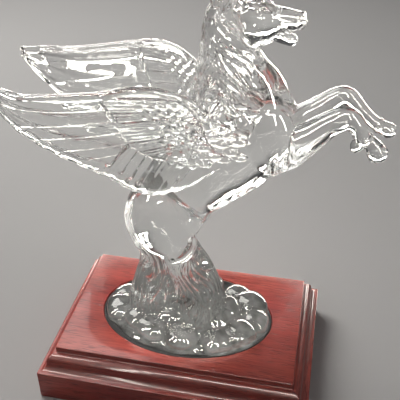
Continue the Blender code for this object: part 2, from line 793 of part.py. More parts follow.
def plinth_profile():
    """Inset and height of each line around the plinth, from the underside to the panel."""
    half = PANEL_INSET / 2
    ledge = PLINTH_HEIGHT - PANEL_STEP
    lip = ledge - OGEE_DROP
    rise = OGEE_DROP / 2
    rows = [(EDGE_BREAK, 0.0), (0.0, EDGE_BREAK), (0.0, lip)]
    for i in range(1, 7):
        angle = math.radians(90 * i / 6)
        rows.append((half * math.sin(angle), lip + rise * (1 - math.cos(angle))))
    for i in range(1, 7):
        angle = math.radians(90 * i / 6)
        rows.append((half + half * (1 - math.cos(angle)), lip + rise + rise * math.sin(angle)))
    rows.append((PANEL_INSET, PLINTH_HEIGHT - EDGE_BREAK))
    rows.append((PANEL_INSET + EDGE_BREAK, PLINTH_HEIGHT))
    return rows


def plinth_block():
    """The moulded block, from a stack of rectangles that follow the profile."""
    points, faces = [], []
    for inset, height in plinth_profile():
        x, y = PLINTH_LENGTH / 2 - inset, PLINTH_WIDTH / 2 - inset
        points += [(-x, -y, height), (x, -y, height), (x, y, height), (-x, y, height)]
    rows = len(points) // 4
    for row in range(rows - 1):
        for corner in range(4):
            following = (corner + 1) % 4
            low, high = 4 * row, 4 * (row + 1)
            faces.append((low + corner, low + following, high + following, high + corner))
    faces.append((3, 2, 1, 0))
    faces.append(tuple(range(4 * rows - 4, 4 * rows)))
    return mesh_of(points, faces)


def oval_prism(half_length, half_width, low, high, sides=64):
    """An upright oval block."""
    ring = [2 * math.pi * i / sides for i in range(sides)]
    points = [
        (half_length * math.cos(a), half_width * math.sin(a), level) for level in (low, high) for a in ring
    ]
    faces = [(i, (i + 1) % sides, sides + (i + 1) % sides, sides + i) for i in range(sides)]
    faces += [tuple(range(sides))[::-1], tuple(range(sides, 2 * sides))]
    return mesh_of(points, faces)


def cut_by(target, cutter):
    """Cuts one object by another, which stays as a hidden helper."""
    modified(target, "BOOLEAN", operation="DIFFERENCE", object=cutter)
    cutter.hide_render = True
    cutter.display_type = "WIRE"


def make_plinth():
    """The mahogany plinth with its oval recess."""
    finish = material("mahogany", (0.30, 0.055, 0.035), 0.3)
    plinth = object_from_bmesh("plinth", plinth_block(), finish)
    floor = PLINTH_HEIGHT - RECESS_DEPTH
    recess = oval_prism(RECESS_HALF_LENGTH, RECESS_HALF_WIDTH, floor, PLINTH_HEIGHT + 5)
    cut_by(plinth, object_from_bmesh("recess_cutter", recess, finish))


def make_liner():
    """The black felt liner, an oval tray that covers the recess's floor and wall."""
    finish = material("black_felt", (0.012, 0.011, 0.012), 0.95)
    floor = PLINTH_HEIGHT - RECESS_DEPTH + GAP
    rim = PLINTH_HEIGHT - FELT_BELOW_TOP
    outer = oval_prism(RECESS_HALF_LENGTH - GAP, RECESS_HALF_WIDTH - GAP, floor, rim)
    inset = GAP + FELT_THICKNESS
    inner = oval_prism(
        RECESS_HALF_LENGTH - inset, RECESS_HALF_WIDTH - inset, floor + FELT_THICKNESS, PLINTH_HEIGHT + 5
    )
    liner = object_from_bmesh("felt_liner", outer, finish)
    cut_by(liner, object_from_bmesh("liner_cutter", inner, finish))


def make_pegasus():
    """The winged horse with its cloud base, fused into one casting."""
    finish = material("clear_crystal", (0.95, 0.97, 0.96), 0.02, transmission=1.0)
    parts = horse_parts() + mane_parts() + tail_parts() + cloud_parts()
    for side in (-1, 1):
        parts += wing_parts(side)
    cast_as_one(parts, finish)


def main():
    for old in list(bpy.data.objects):
        bpy.data.objects.remove(old)
    make_plinth()
    make_liner()
    make_pegasus()


main()
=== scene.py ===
"""Crystal pegasus ornament: the looks of the figure, its mahogany plinth and its felt liner.

Lengths in the tables are millimetres. Heights of the figure are counted from the plinth's top face.
"""

import math

import bmesh
import bpy
from mathutils import Matrix, Vector
from mathutils.bvhtree import BVHTree


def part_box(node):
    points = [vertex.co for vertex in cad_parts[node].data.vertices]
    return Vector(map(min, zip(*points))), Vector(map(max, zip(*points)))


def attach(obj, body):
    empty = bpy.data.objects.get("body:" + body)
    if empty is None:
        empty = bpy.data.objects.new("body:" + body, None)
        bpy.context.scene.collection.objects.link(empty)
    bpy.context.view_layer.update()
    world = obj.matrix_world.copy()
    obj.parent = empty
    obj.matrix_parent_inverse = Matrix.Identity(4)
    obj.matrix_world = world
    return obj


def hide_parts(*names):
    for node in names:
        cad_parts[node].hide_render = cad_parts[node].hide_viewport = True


bl_info = {
    "name": "Crystal Pegasus Ornament",
    "version": (1, 0, 0),
    "blender": (4, 5, 0),
    "location": "View3D > Sidebar > Ornament",
    "description": "Builds a crystal pegasus on a felt-lined mahogany plinth",
    "category": "Object",
}

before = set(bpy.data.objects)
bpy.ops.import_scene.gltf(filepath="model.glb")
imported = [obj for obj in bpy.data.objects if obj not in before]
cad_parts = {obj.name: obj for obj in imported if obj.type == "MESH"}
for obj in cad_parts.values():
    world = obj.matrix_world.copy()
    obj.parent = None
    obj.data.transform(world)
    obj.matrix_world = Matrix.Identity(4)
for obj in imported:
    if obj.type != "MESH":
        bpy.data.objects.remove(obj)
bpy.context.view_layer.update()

MM = 0.001

# Plinth, in millimetres
PLINTH_LENGTH = 152.4
PLINTH_WIDTH = 103.4
PLINTH_HEIGHT = 33.0
PANEL_INSET = 9.3
PANEL_STEP = 3.8
OGEE_DROP = 9.8
EDGE_BREAK = 0.5

# Oval recess and its felt liner, in millimetres
RECESS_HALF_LENGTH = 50.8
RECESS_HALF_WIDTH = 35.4
RECESS_DEPTH = 4.0
FELT_THICKNESS = 1.0
FELT_BELOW_TOP = 0.5
GAP = 0.3

# Crystal figure. Its heights are counted from the plinth's top face, in millimetres
FOOT_LEVEL = -RECESS_DEPTH + FELT_THICKNESS + 2 * GAP
FOOT_HALF_LENGTH = RECESS_HALF_LENGTH - FELT_THICKNESS - 3 * GAP
FOOT_HALF_WIDTH = RECESS_HALF_WIDTH - FELT_THICKNESS - 3 * GAP
BASE_HALF_LENGTH = 46.0
BASE_HALF_WIDTH = 31.0
BASE_SLAB_TOP = 5.0

# Rounded end of a limb: how far its pole stands off, and where its shoulder ring sits and how wide that
# is
CAP_REACH = 0.7
CAP_SHOULDER = 0.75
CAP_SHOULDER_WIDTH = 0.66

# Sections of the body in the middle plane: x, z, half depth along the side view, half width across
TRUNK = [
    (-10, 50, 10, 11), (-9, 62, 15.5, 14.5), (-7.5, 76, 20, 17), (-2, 90, 21.5, 17),
    (9, 103, 24, 17.5), (22, 117, 26, 18), (32, 130, 22.5, 16.5), (36, 139, 16, 12),
]
NECK = [
    (30, 135, 24, 15), (27.5, 146, 21.5, 13), (24.5, 156, 17.4, 11), (23, 164, 13.6, 9.6),
    (22, 172, 11.3, 8.6), (21.5, 180, 10, 7.8), (22.4, 187, 7.6, 6.4),
]
SKULL = [
    (21, 184, 8, 6.2), (26, 181, 11, 7.4), (32, 179.8, 11.2, 7.5), (37, 180.6, 9, 6.8),
    (42, 181.8, 6.4, 5.4), (47, 182.4, 4.8, 4.5), (50.6, 182, 4.2, 4.3), (52.4, 181, 3, 3.6),
]
LOWER_JAW = [
    (36, 174.6, 4.2, 5), (41, 175.2, 2.9, 4), (45.5, 173.9, 2.5, 3.4), (48.6, 173.4, 2.4, 3.2),
    (49.8, 174.2, 1.7, 2.5),
]

# Sections of the legs: x, distance from the middle plane, z, half depth, half width. The forelegs and
# forehooves have tables of their own. The far hind leg is the near one, shifted by x and z
NEAR_FORELEG = [
    (42, 8, 120, 13, 7.5), (51, 8.5, 123.5, 10.5, 6.8), (60, 8.8, 130.5, 8, 5.8),
    (69, 8.8, 138.6, 6.2, 5), (76.2, 8.8, 142.4, 5.6, 4.9), (81, 8.8, 139.6, 4.6, 4.4),
    (83.6, 8.8, 134.6, 3.7, 3.7), (85.4, 8.8, 131.6, 3.8, 3.8),
]
NEAR_FOREHOOF = [
    (85.4, 8.8, 133, 3.2, 3.2), (88.6, 8.8, 130.8, 3.7, 3.6), (91, 8.8, 127.8, 4.5, 4.4),
    (92.6, 8.8, 125.4, 5, 4.9),
]
NEAR_FETLOCK_TUFT = [
    (85, 8.8, 132.5, 3.4, 3.2), (82.6, 8.8, 129.4, 3.2, 2.9), (81.6, 8.8, 126.8, 2, 2),
]
FAR_FORELEG = [
    (42, 7, 122, 12, 7), (52, 8, 127.5, 8.8, 6.2), (62, 8.5, 136, 6.4, 5.2),
    (71, 8.8, 143.4, 5.2, 4.6), (76.6, 8.8, 144.4, 4.7, 4.4), (83.6, 8.8, 138.2, 3.4, 3.4),
    (89, 8.8, 133.6, 3.1, 3.2), (92.4, 8.8, 131.2, 3.4, 3.5),
]
FAR_FOREHOOF = [
    (91.6, 8.8, 131.6, 3.1, 3.1), (94.6, 8.8, 130.4, 3.5, 3.4), (98, 8.8, 129, 4, 4),
]
NEAR_HIND_LEG = [
    (-10, 8, 88, 14, 9), (-9, 9.5, 76, 19, 10.5), (-7.5, 10.5, 66, 17, 10.5),
    (-4, 10.8, 58, 12.6, 8.8), (-3, 10.2, 50, 7.4, 6.2), (-1, 8, 42, 4.6, 4.4),
    (3, 6.5, 31, 4.2, 4), (7, 6.5, 20, 4.4, 4.4), (10, 7.5, 13, 5, 5),
]
NEAR_HIND_HOOF = [
    (10, 7.5, 14.5, 4.6, 4.6), (13, 7.8, 10, 5.6, 5.4), (16, 8, 6, 6.4, 6),
]
FAR_HIND_LEG_SHIFT = (-5.0, 0.0)
NO_SHIFT = (0.0, 0.0)

# Each leg and hoof: its table, its side, -1 for the near one, and its shift
LEGS = [
    (NEAR_FORELEG, -1),
    (NEAR_FOREHOOF, -1),
    (NEAR_FETLOCK_TUFT, -1),
    (FAR_FORELEG, 1),
    (FAR_FOREHOOF, 1),
    (NEAR_HIND_LEG, -1),
    (NEAR_HIND_HOOF, -1),
    (NEAR_HIND_LEG, 1, FAR_HIND_LEG_SHIFT),
    (NEAR_HIND_HOOF, 1, FAR_HIND_LEG_SHIFT),
]

# Rounded masses laid over the sections: centre x, distance from the middle plane, z, three radii and
# pitch
CHEEK = (30, 0, 178.5, 9, 8.4, 9.6, 0)
SHOULDER = (38, 9, 127, 15, 8, 19, 35)
NOSTRIL = (52.6, 3, 183, 1.8, 1.6, 1.6, 0)
WING_ROOT = (21, 12.5, 130, 17, 6, 14, -30)
EAR = [
    (22.5, 3, 190, 2.6, 1.8), (22.6, 3.6, 194, 2.5, 1.7), (23.4, 4.2, 198, 1.6, 1.2),
    (24.4, 4.6, 200.5, 0.6, 0.5),
]

# Rounded puffs of the cloud base, in two rings: count, first angle in degrees, half length and half width
# of the ring, then each puff's radius along the ring, radius across it and height of its top
CLOUD_RINGS = [
    (13, 189, 41, 25, 9.8, 9, 8.8), (9, 250, 25, 13.5, 8.8, 7.2, 11.8),
]
PUFF_HEIGHT = 7.5
PUFF_BOXINESS = 2.5
PUFF_UNEVENNESS = 0.7
PUFF_VARIATION = 0.09
PUFF_SPACING_VARIATION = 4.0
PUFF_SPACING_WAVE = 2.1
PUFF_SIZE_WAVE = (3.7, 1)
PUFF_LEVEL_WAVE = 2.9
PUFF_DIP = 4.4
PUFF_DIP_DIRECTION = 150.0
PUFF_DIP_FALL = 2
PUFF_TUCK = 0.2
PUFF_TUCK_DIRECTION = 234.0
PUFF_TUCK_FALL = 6
CLOUD_SLAB = (BASE_HALF_LENGTH, BASE_HALF_WIDTH, PUFF_HEIGHT)
CLOUD_CROWN = (31, 19, PUFF_HEIGHT)
CLOUD_CROWN_LEVEL = 1.5
BACK_NARROWING = 0.94

# The leading edge of a wing from the shoulder to the tip: x, distance from the middle plane, z
LEADING_EDGE = [
    (20, 12.5, 133), (12.4, 15, 141.2), (7.5, 16.8, 146.8), (-1.4, 20.2, 152), (-10, 25, 155.4),
    (-20, 29, 156.2), (-30, 31.5, 154.6), (-45, 31, 152), (-60, 30, 149.8), (-72, 28.7, 148.4),
    (-80, 26.5, 149.2), (-86, 23.6, 149.9), (-91, 20.8, 150.3),
]
LOWER_SPREAD = [(-92, 20), (-10, 20), (0, 19.5), (10, 18.5), (20, 17), (30, 15), (45, 12)]
LOWER_LEVEL = 112.0
LEAST_HEIGHT = 8.0

# Ridges between the long feathers: tip x, z, root x, z, sag of the middle
PRIMARY_RIDGES = [
    (-91, 150, -28, 153, 2.7), (-88.4, 142.6, -29.5, 147.3, 2.6), (-79, 130.4, -26.7, 140.7, 0.9),
    (-70.1, 123.6, -21.6, 135, 0.7), (-61.2, 116.8, -19.1, 128.3, 0.2),
    (-51, 111.4, -17.8, 124.2, 0), (-42.3, 108.3, -16.5, 122.5, 0), (-33.7, 105.6, -15.7, 121.3, 0),
]
SECONDARY_RIDGES = [
    (-34.1, 106.8, -20, 127, -0.8), (-28.7, 103.2, -16, 124.6, -0.8),
    (-23.8, 100.7, -12, 122.5, -0.8), (-19.3, 99.2, -8, 121, -0.8), (-13.8, 98.6, -3, 120.6, -1.2),
    (-8.6, 99, 3, 120, -1.5), (-2, 101.2, 9, 120, -1.5), (5.2, 104.2, 15, 119.6, -1.2),
    (12.9, 109.6, 21, 119.8, -0.8), (21.5, 116.2, 28, 121, 0),
]
COVERT_RIDGES = [
    (-28.6, 153, 5, 148.8, -1), (-28.6, 146.9, 6.2, 145.6, -0.6), (-26.4, 141, 8.4, 143.3, -0.4),
    (-23.6, 135.4, 10.2, 139.7, -0.2), (-21.2, 129.8, 11.6, 136.2, 0), (-17, 124.6, 13, 132.6, 0),
    (-12.3, 121.5, 14.4, 129.1, 0.2), (-6.2, 119.6, 16.4, 126.1, 0.4),
    (1.7, 118.2, 18.8, 123.6, 0.4), (11.1, 117.6, 21.7, 121.2, 0.2),
]

# Feathers: thickness of the long ones and the coverts, the shares of it at the tip and the edges, what
# the root and the middle have more, how they overlap and end, and the knobs at the first secondaries
PLATE_THICKNESS = 2.8
COVERT_THICKNESS = 3.6
TIP_SHARE = 0.5
ROOT_MORE = 0.25
RIM_SHARE = 0.8
MIDDLE_MORE = 0.2
SHINGLE_STEP = 0.7
EDGE_ROLL = 2.2
FEATHER_OVERLAP = 0.06
FEATHER_END = 0.25
FEATHER_BULGE = 1.6
COVERT_BULGE = 1.2
SECONDARY_OFFSET = 0.8
COVERT_OFFSET = 1.6
KNOB_RADII = (3.0, 2.2, 3.4)
KNOB_COUNT = 4
KNOB_PITCH = -25.0
KNOB_AHEAD = 1
KNOB_OUT = 1

# Inner skin of a wing: where it starts, how it lies, its broad lengthwise flutes, and how finely it is drawn
SKIN_ROOT = 20.0
SKIN_INSET = 1.2
SKIN_OFFSET = -1.0
SKIN_THICKNESS = 1.1
SKIN_FLUTES = 3
SKIN_FLUTE_DEPTH = 0.5
SKIN_STATIONS = 48
SKIN_ROWS = 48

# Columns of hair in front of and between the hind legs: x, z, half depth along the side view, half width
FETLOCK_COLUMN = [
    (-1, 52, 4.5, 10), (3, 43, 5, 10.5), (7.8, 33, 6.2, 10.5), (10.4, 22, 8.2, 11),
    (12, 7, 10.4, 12),
]
WEB_BETWEEN = [(-6, 50, 9, 7), (-4, 34, 9, 7), (-3, 20, 12, 9), (-2, 7, 16, 10)]

# Mane: locks on each side of the neck, by the height where they leave the crest, then the tip's place
# across the neck, from -1 at the crest to 1 at the throat, and its height
MANE_LOCKS = [
    (193, 0.5, 173.5), (191, 0.86, 166.5), (188, 0.5, 158), (182, 0.16, 149), (174, -0.25, 143),
    (168, 0.02, 137), (158, -0.4, 132),
]
MANE_FLATNESS = 0.75
MANE_SWAY = 0.05
MANE_SWAY_WAVES = 3
LOCK_SLIMNESS = 0.45
MANE_LIFT = 0.7
MANE_HANG = 0.3
MANE_ROOT = -0.92
CREST_LOCKS = 7
CREST_TOP = 194.0
CREST_STEP = 6.2
CREST_FALL = 27.0
CREST_SINK = 2.6
CREST_SWAY = 2.2
CREST_SWAY_WAVE = 2.1
CREST_SWAY_SPAN = (0.1, 0.7)
CREST_POINTS = 4
CREST_THICKNESS = 2.9
FORELOCK = [(23, 192), (29, 192), (35, 190)]
FORELOCK_SPREAD = 2.2
FORELOCK_THICKNESS = 2.0

# Finer than the solid: sides and steps of a limb, the body, a raised line and the neck's heights, rows
# and columns of a feather, levels of a ball
LIMB_SIDES = 24
BODY_SIDES = 48
LIMB_STEPS = 8
BEAD_SIDES = 8
BEAD_STEPS = 2
NECK_STEPS = 24
FEATHER_ROWS = 30
FEATHER_COLUMNS = 10
BALL_LEVELS = 4
SMALL_BALL_LEVELS = 3

# Raised lines: where they are on the swell from end to end, then those round the feathers
BEAD_SWELL = (0.1, 0.8)
RIM_RADIUS = 0.75
COVERT_RIM_RADIUS = 0.6
RIM_STEPS = 14
RIM_START = 0.03
RIM_TIP_STEPS = 5
RIM_INSET = 0.5

# Layers of feathers: ridges, thickness, distance outwards, tilt, bulge of the end and radius of the rim
WING_LAYERS = [
    (PRIMARY_RIDGES, PLATE_THICKNESS, 0, SHINGLE_STEP, FEATHER_BULGE, RIM_RADIUS),
    (SECONDARY_RIDGES, PLATE_THICKNESS, SECONDARY_OFFSET, -SHINGLE_STEP, FEATHER_BULGE, RIM_RADIUS),
    (COVERT_RIDGES, COVERT_THICKNESS, COVERT_OFFSET, SHINGLE_STEP, COVERT_BULGE, COVERT_RIM_RADIUS),
]

# Rolled leading edge: sides and steps, the row from which it thins and by how much, and how deep it sits
EDGE_SIDES = 16
EDGE_STEPS = 6
EDGE_THINS_FROM = 4
EDGE_THINNING = 0.5
EDGE_SUNK = 0.4

# Fine lines and small scales over the coverts
COVERT_LINES = (0.33, 0.67)
COVERT_LINE_START = 0.3
COVERT_LINE_RADIUS = 0.45
COVERT_SCALES = 9
COVERT_SCALE_END = 0.62
COVERT_SCALE_STAGGER = 0.2
COVERT_SCALE_RADII = (2.1, 0.8, 1.2)
COVERT_SCALE_PITCH = 10.0

# Relief of every column of hair: sides and steps, size against its sections, depth of the strands and of
# the finer ones over them as shares of the radius, how they wind down, numbers of broad and fine
# strands, and how they set in below the top
COLUMN_SIDES = 240
COLUMN_STEPS = 14
COLUMN_SIZE = 1.07
BROAD_DEPTH = 0.2
FINE_DEPTH = 0.085
FLOW_WAVE = 0.3
FLOW_WAVES = 1.4
FLOW_SWIRL = 1.3
STRAY_WAVE = 0.07
STRAY_WAVES = 3.1
STRAY_SWIRL = 2.0
COLUMN_STRANDS = [(17, 43), (16, 39), (17, 40)]
CREST_STRANDS = (16, 38)
FINE_FULL_FROM = 0.5
FIRST_DEPTH = 0.85
FULL_FROM = 0.25

# The tail, as x, z, half depth and half width, and a sleeve of hair round each hind leg, with its
# distance from the middle plane after x. The tail's upper sections are wider than the solid's, because
# they take in its strands. The solid has no sleeves
TAIL_HAIR = [
    (-22, 86, 5, 9), (-26.2, 74, 6, 12.5), (-23.2, 61, 6.6, 12.5), (-18, 50, 7.4, 11),
    (-17.5, 38, 8.2, 10.5), (-18.5, 24, 10.6, 12), (-19, 7, 14.3, 13.5),
]
SLEEVE = [
    (-3, 10.4, 51, 6.6, 5.6), (-0.8, 9.8, 43, 6.2, 5.6), (2.6, 9.2, 32, 6.8, 6.2),
    (6, 9, 20, 8.2, 7.2), (8.6, 9, 6, 10.4, 8.4),
]
SLEEVE_STRANDS = (13, 30)
GROOVE_ROUNDNESS = 0.6

# Hair behind the neck: levels of its sections, its half depth and half width against the neck's
CREST_LEVELS = [196, 190, 183, 176, 168, 160, 152, 144, 136, 128]
CREST_DEEP = 0.5
CREST_MORE = 1.0
CREST_BEYOND = 0.2
CREST_WIDE = 0.95

# Mane: a lock's point, its swell from root to tip and its grooves, and the leaf-like locks between the
# broad ones
LOCK_POINT = 0.75
LOCK_POINT_LENGTH = 0.3
LOCK_SWELL = (0.15, 0.8)
LOCK_SIDES = 48
LOCK_STEPS = 4
LOCK_GROOVES = 6
LOCK_GROOVE = 0.5
LOCK_TWIST = 0.9
MANE_POINTS = 10
MANE_SETTLE = 0.45
BROAD_LOCK_THICKNESS = 2.9
LEAVES_BETWEEN = 2
LEAF_THICKNESS = 1.9
LEAF_FLATNESS = 0.8
LEAF_LIFT = 2.3
LEAF_VARIATION = 0.2
LEAF_VARIATION_WAVE = 2.3
LEAF_ROOT_SPREAD = 0.5
LEAF_ROOT_STEP = 0.382

# Wings: how far inside the skin a feather's inner face stays, the end of the skin, its rim, the fold
# between the primaries and the secondaries, and how blunt the ends of the rim and the fold are
SKIN_COVER = 0.5
SKIN_END = -90.4
SKIN_TIP_INSET = 0.3
INNER_RIM_RADIUS = 1.15
INNER_RIM_INSET = 0.6
INNER_FOLD = [(-33.0, 153.4), (-31.9, 149.7), (-29.8, 145.2), (-26.3, 139.1), (-24.2, 134.4)]
INNER_FOLD_RADIUS = 0.8
FOLD_RADIUS = 1.5
BLUNT = 0.8

# Laying finer forms on the skin: how far to the side a ray starts, and how far the nearest point is
# looked for where it misses. Almond-shaped feathers of the shoulder, in a layout of their own: rows by
# height, first place and count, step along a row, shape, and the brow over each
SIDE_REACH = 90.0
BESIDE = 6.0
SHOULDER_ROWS = [
    (118.6, 14.5, 3), (122.6, 18.2, 2), (126.9, 14.0, 3), (131.3, 17.6, 2), (135.8, 21.0, 1),
]
SHOULDER_STEP = (8.1, 1.2)
SHOULDER_SHRINK = 0.06
SHOULDER_SCALE = (3.7, 1.5, 1.9)
SHOULDER_PITCH = -9.0
SHOULDER_PROUD = 0.35
SHOULDER_BROW = [(-1.1, -0.1), (-0.5, 0.85), (0.3, 0.8), (1.15, 0.05)]
SHOULDER_BROW_RADIUS = 0.45

# Masses of the head: an eye, set a little apart from the solid's, and the chin, which the solid lacks
EYE_BALL = (36.7, 4.3, 187.2, 2.5, 1.7, 1.8, 8)
CHIN = (48.2, 1.2, 173.6, 2.4, 2.0, 2.5, 20)

# Face: how fine its lines end, and each as points, radius and how proud it lies
FACE_TAPER = 0.4
FACE_LINES = [
    ([(32.8, 186.4), (34.4, 188.1), (36.7, 188.8), (38.9, 188.0), (40.6, 186.0)], 0.55, 0.25),
    ([(32.9, 186.2), (34.8, 185.6), (37.2, 185.5), (40.2, 186.0)], 0.5, 0.2),
    ([(33.2, 184.6), (35.6, 183.8), (38.6, 184.0)], 0.4, 0.1),
    ([(40.5, 184.0), (44.0, 182.9), (47.5, 182.6)], 0.7, -0.2),
    ([(50.6, 185.2), (52.0, 185.6), (53.0, 184.4), (52.6, 183.0)], 0.5, 0.1),
    ([(50.4, 178.2), (47.5, 178.4), (44.5, 178.9)], 0.55, 0.0),
    ([(20.8, 183.2), (21.9, 180.7), (23.6, 178.6), (26.2, 176.5), (29.5, 174.6)], 0.7, 0.1),
    ([(40.8, 182.0), (41.6, 178.9), (43.4, 175.4)], 0.5, 0.0),
    ([(43.1, 182.2), (44.6, 179.2), (45.4, 175.2)], 0.45, 0.0),
    ([(51.0, 185.8), (50.6, 183.4), (51.0, 180.8)], 0.45, 0.0),
]

# Curved folds in front of the hocks: x, z and radius along each
HOCK_FOLD = [
    (5.6, 69.0, 2.2), (5.6, 65.5, 2.7), (4.4, 61.8, 2.8), (2.0, 58.2, 2.6), (-0.8, 55.6, 2.4),
    (-4.0, 54.4, 2.8),
]
HOCK_PROUD = -1.5

# Raised forehooves: section tables with their side, and the shape of the coronets
HOOVES = [(NEAR_FOREHOOF, -1), (FAR_FOREHOOF, 1)]
CORONET_AHEAD = 1.0
CORONET_POINTS = 16
CORONET_SIZE = 1.05
CORONET_RADIUS = 0.75

# Shallow hollows of the nostrils and ears: centre x, distance from the middle plane, z, three radii and
# depth
HOLLOWS = [
    (51.8, 3.5, 184.0, 1.2, 3.0, 1.0, 1.0), (22.5, 3.4, 196.0, 2.2, 3.0, 3.5, 0.8),
]

# Figure's skin: how much each rounding moves it, how sharp an edge must be to be kept, in degrees, and
# how upright a face's normal must be to count as level
SMOOTHING_FACTOR = 0.5
FIGURE_CREASE = 60.0
LEVEL_FROM = 0.9

# Patches of the finishes: scale, detail, and the noise that counts as 0 and as 1
CRYSTAL_TONES = (45.0, 2.0, 0.35, 0.65)
CRYSTAL_POLISH = (300.0, 3.0, 0.35, 0.65)
CRYSTAL_RIPPLES = (110.0, 1.0, 0.2, 0.8)
GROUND_PATCHES = (230.0, 4.0, 0.35, 0.65)
WOOD_BANDS = (130.0, 4.0, 0.3, 0.7)
WOOD_FIBRES = (900.0, 2.0, 0.4, 0.62)
WOOD_PORES = (1500.0, 1.0, 0.56, 0.68)
WOOD_CLOUDS = (22.0, 2.0, 0.3, 0.7)
FELT_FIBRES = (2600.0, 6.0, 0.35, 0.7)
FELT_PATCHES = (160.0, 3.0, 0.35, 0.65)
FLOOR_PATCHES = (3.0, 3.0, 0.35, 0.65)
EVENLY = (1, 1, 1)
CLOUD_STRETCH = (1, 1.6, 1)

# Bumps of the finishes: distance in metres and strength
RIPPLE_BUMP = (0.0012, 0.08)
GROUND_BUMP = (0.0001, 0.4)
PORE_BUMP = (-0.00008, 0.5)
BAND_BUMP = (0.0003, 0.12)
FELT_BUMP = (0.0003, 0.8)

# Least and greatest roughness of the finishes
CRYSTAL_ROUGHNESS = (0.0, 0.035)
GROUND_ROUGHNESS = (0.55, 0.7)
WOOD_ROUGHNESS = (0.30, 0.42)
FELT_ROUGHNESS = (0.85, 1.0)

# Share of the warm tone in the wood's clouds, then the least and greatest share of each tone laid over the
# wood and the felt
WARM_SHARE = 0.55
FIBRE_SHARE = (0.0, 0.45)
PORE_SHARE = (0.0, 0.6)
FELT_SHARE = (0.0, 0.5)

# Crystal: its deeper patches against its tint. Ground foot: how far above the cut it is looked for, and
# its light and dark patches against the tint. Both are kept near-black as painted shade, standing for the
# black felt seen through the glass
DEEPER_TINT = 0.975
GROUND_MARGIN = 0.3
PAINTED_SHADE_GROUND_LIGHT = 0.12
PAINTED_SHADE_GROUND_DARK = 0.035

# Plinth and felt: steps of each curve of the moulding, its lip, sides of the ovals, stretch of the grain,
# rounding of the edges, how sharp an edge must be to be rounded or kept, in degrees, and height of the
# cutter's top
ARC_STEPS = 10
LIP_STEP = 0.6
OVAL_SIDES = 128
GRAIN_STRETCH = 0.09
FELT_EDGE_BREAK = 0.3
BEVEL_STEPS = 3
BEVEL_FROM = 40.0
PLINTH_CREASE = 35.0
FELT_CREASE = 50.0
CUTTER_RISE = 5.0

# Stage: floor, camera, limits of the light's bounces, and lights as name, power, size, place and whether
# they light matt surfaces
FLOOR_SIZE = 6.0
FLOOR_SHADE = 0.97
CAMERA_ANGLES = (11.374, 34.589, 0.176)
CAMERA_PLACE = (0.06457, -0.28337, 0.31472)
CAMERA_SENSOR = 36
CAMERA_CLIP = 0.01
MOST_BOUNCES = 32
CLEAR_BOUNCES = 28
GLOSSY_BOUNCES = 8
LIGHT_AIM = (0, 0, 0.12)
WINDOW_COLOUR = (1.0, 0.985, 0.96)
STRIP_COLOUR = (1.0, 0.955, 0.88)
SOFT_LIGHTS = [
    ("window", 7.5, (0.6, 0.6), (-0.5, 0.4, 0.8), True),
    ("left_strip", 12.0, (0.1, 0.9), (-0.5, -0.35, 0.6), False),
    ("right_strip", 9.0, (0.06, 0.8), (0.6, -0.45, 0.45), False),
    ("back_strip", 15.0, (1.2, 0.1), (0, 0.7, 0.16), False),
    ("front_strip", 10.0, (0.5, 0.1), (0.05, -0.6, 0.95), False),
    ("near_left_strip", 7.0, (0.05, 0.7), (-0.28, -0.75, 0.5), False),
    ("near_right_strip", 6.0, (0.05, 0.6), (0.3, -0.7, 0.6), False),
]
WORLD_LOW = (0.02, 0.02, 0.021)
WORLD_HIGH = (0.15, 0.15, 0.155)


def clamp(value, low=0.0, high=1.0):
    """The value, or the nearer limit where it lies outside them."""
    return min(high, max(low, value))


def smooth_step(value):
    """0 below 0, 1 above 1, and an S curve between."""
    value = clamp(value)
    return value * value * (3 - 2 * value)


def catmull_rom(before, start, end, after, t):
    """The value at t, from 0 to 1, on the smooth curve from start to end."""
    return 0.5 * (
        2 * start
        + (end - before) * t
        + (2 * before - 5 * start + 4 * end - after) * t * t
        + (3 * start - before - 3 * end + after) * t**3
    )


def smooth_stations(stations, steps):
    """Rows of numbers interpolated smoothly, with steps rows for each gap."""
    rows = []
    last = len(stations) - 1
    for i in range(last):
        before, after = stations[max(0, i - 1)], stations[min(last, i + 2)]
        for step in range(steps):
            t = step / steps
            rows.append(
                [catmull_rom(*four, t) for four in zip(before, stations[i], stations[i + 1], after)]
            )
    rows.append(list(stations[last]))
    return rows


def mesh_of(points, faces):
    """A bmesh from points in millimetres and faces of indices, facing outwards."""
    mesh = bmesh.new()
    vertices = [mesh.verts.new(point) for point in points]
    for face in faces:
        mesh.faces.new([vertices[i] for i in face])
    bmesh.ops.recalc_face_normals(mesh, faces=mesh.faces)
    return mesh


def closed_tube(rings, start_pole, end_pole):
    """A closed body through rings of equal count, ended by a pole at each side."""
    sides = len(rings[0])
    points = [point for ring in rings for point in ring] + [start_pole, end_pole]
    faces = []
    for row in range(len(rings) - 1):
        for side in range(sides):
            following = (side + 1) % sides
            low, high = row * sides, (row + 1) * sides
            faces.append((low + side, low + following, high + following, high + side))
    start, end = len(points) - 2, len(points) - 1
    top = (len(rings) - 1) * sides
    for side in range(sides):
        following = (side + 1) % sides
        faces.append((start, following, side))
        faces.append((end, top + side, top + following))
    return mesh_of(points, faces)


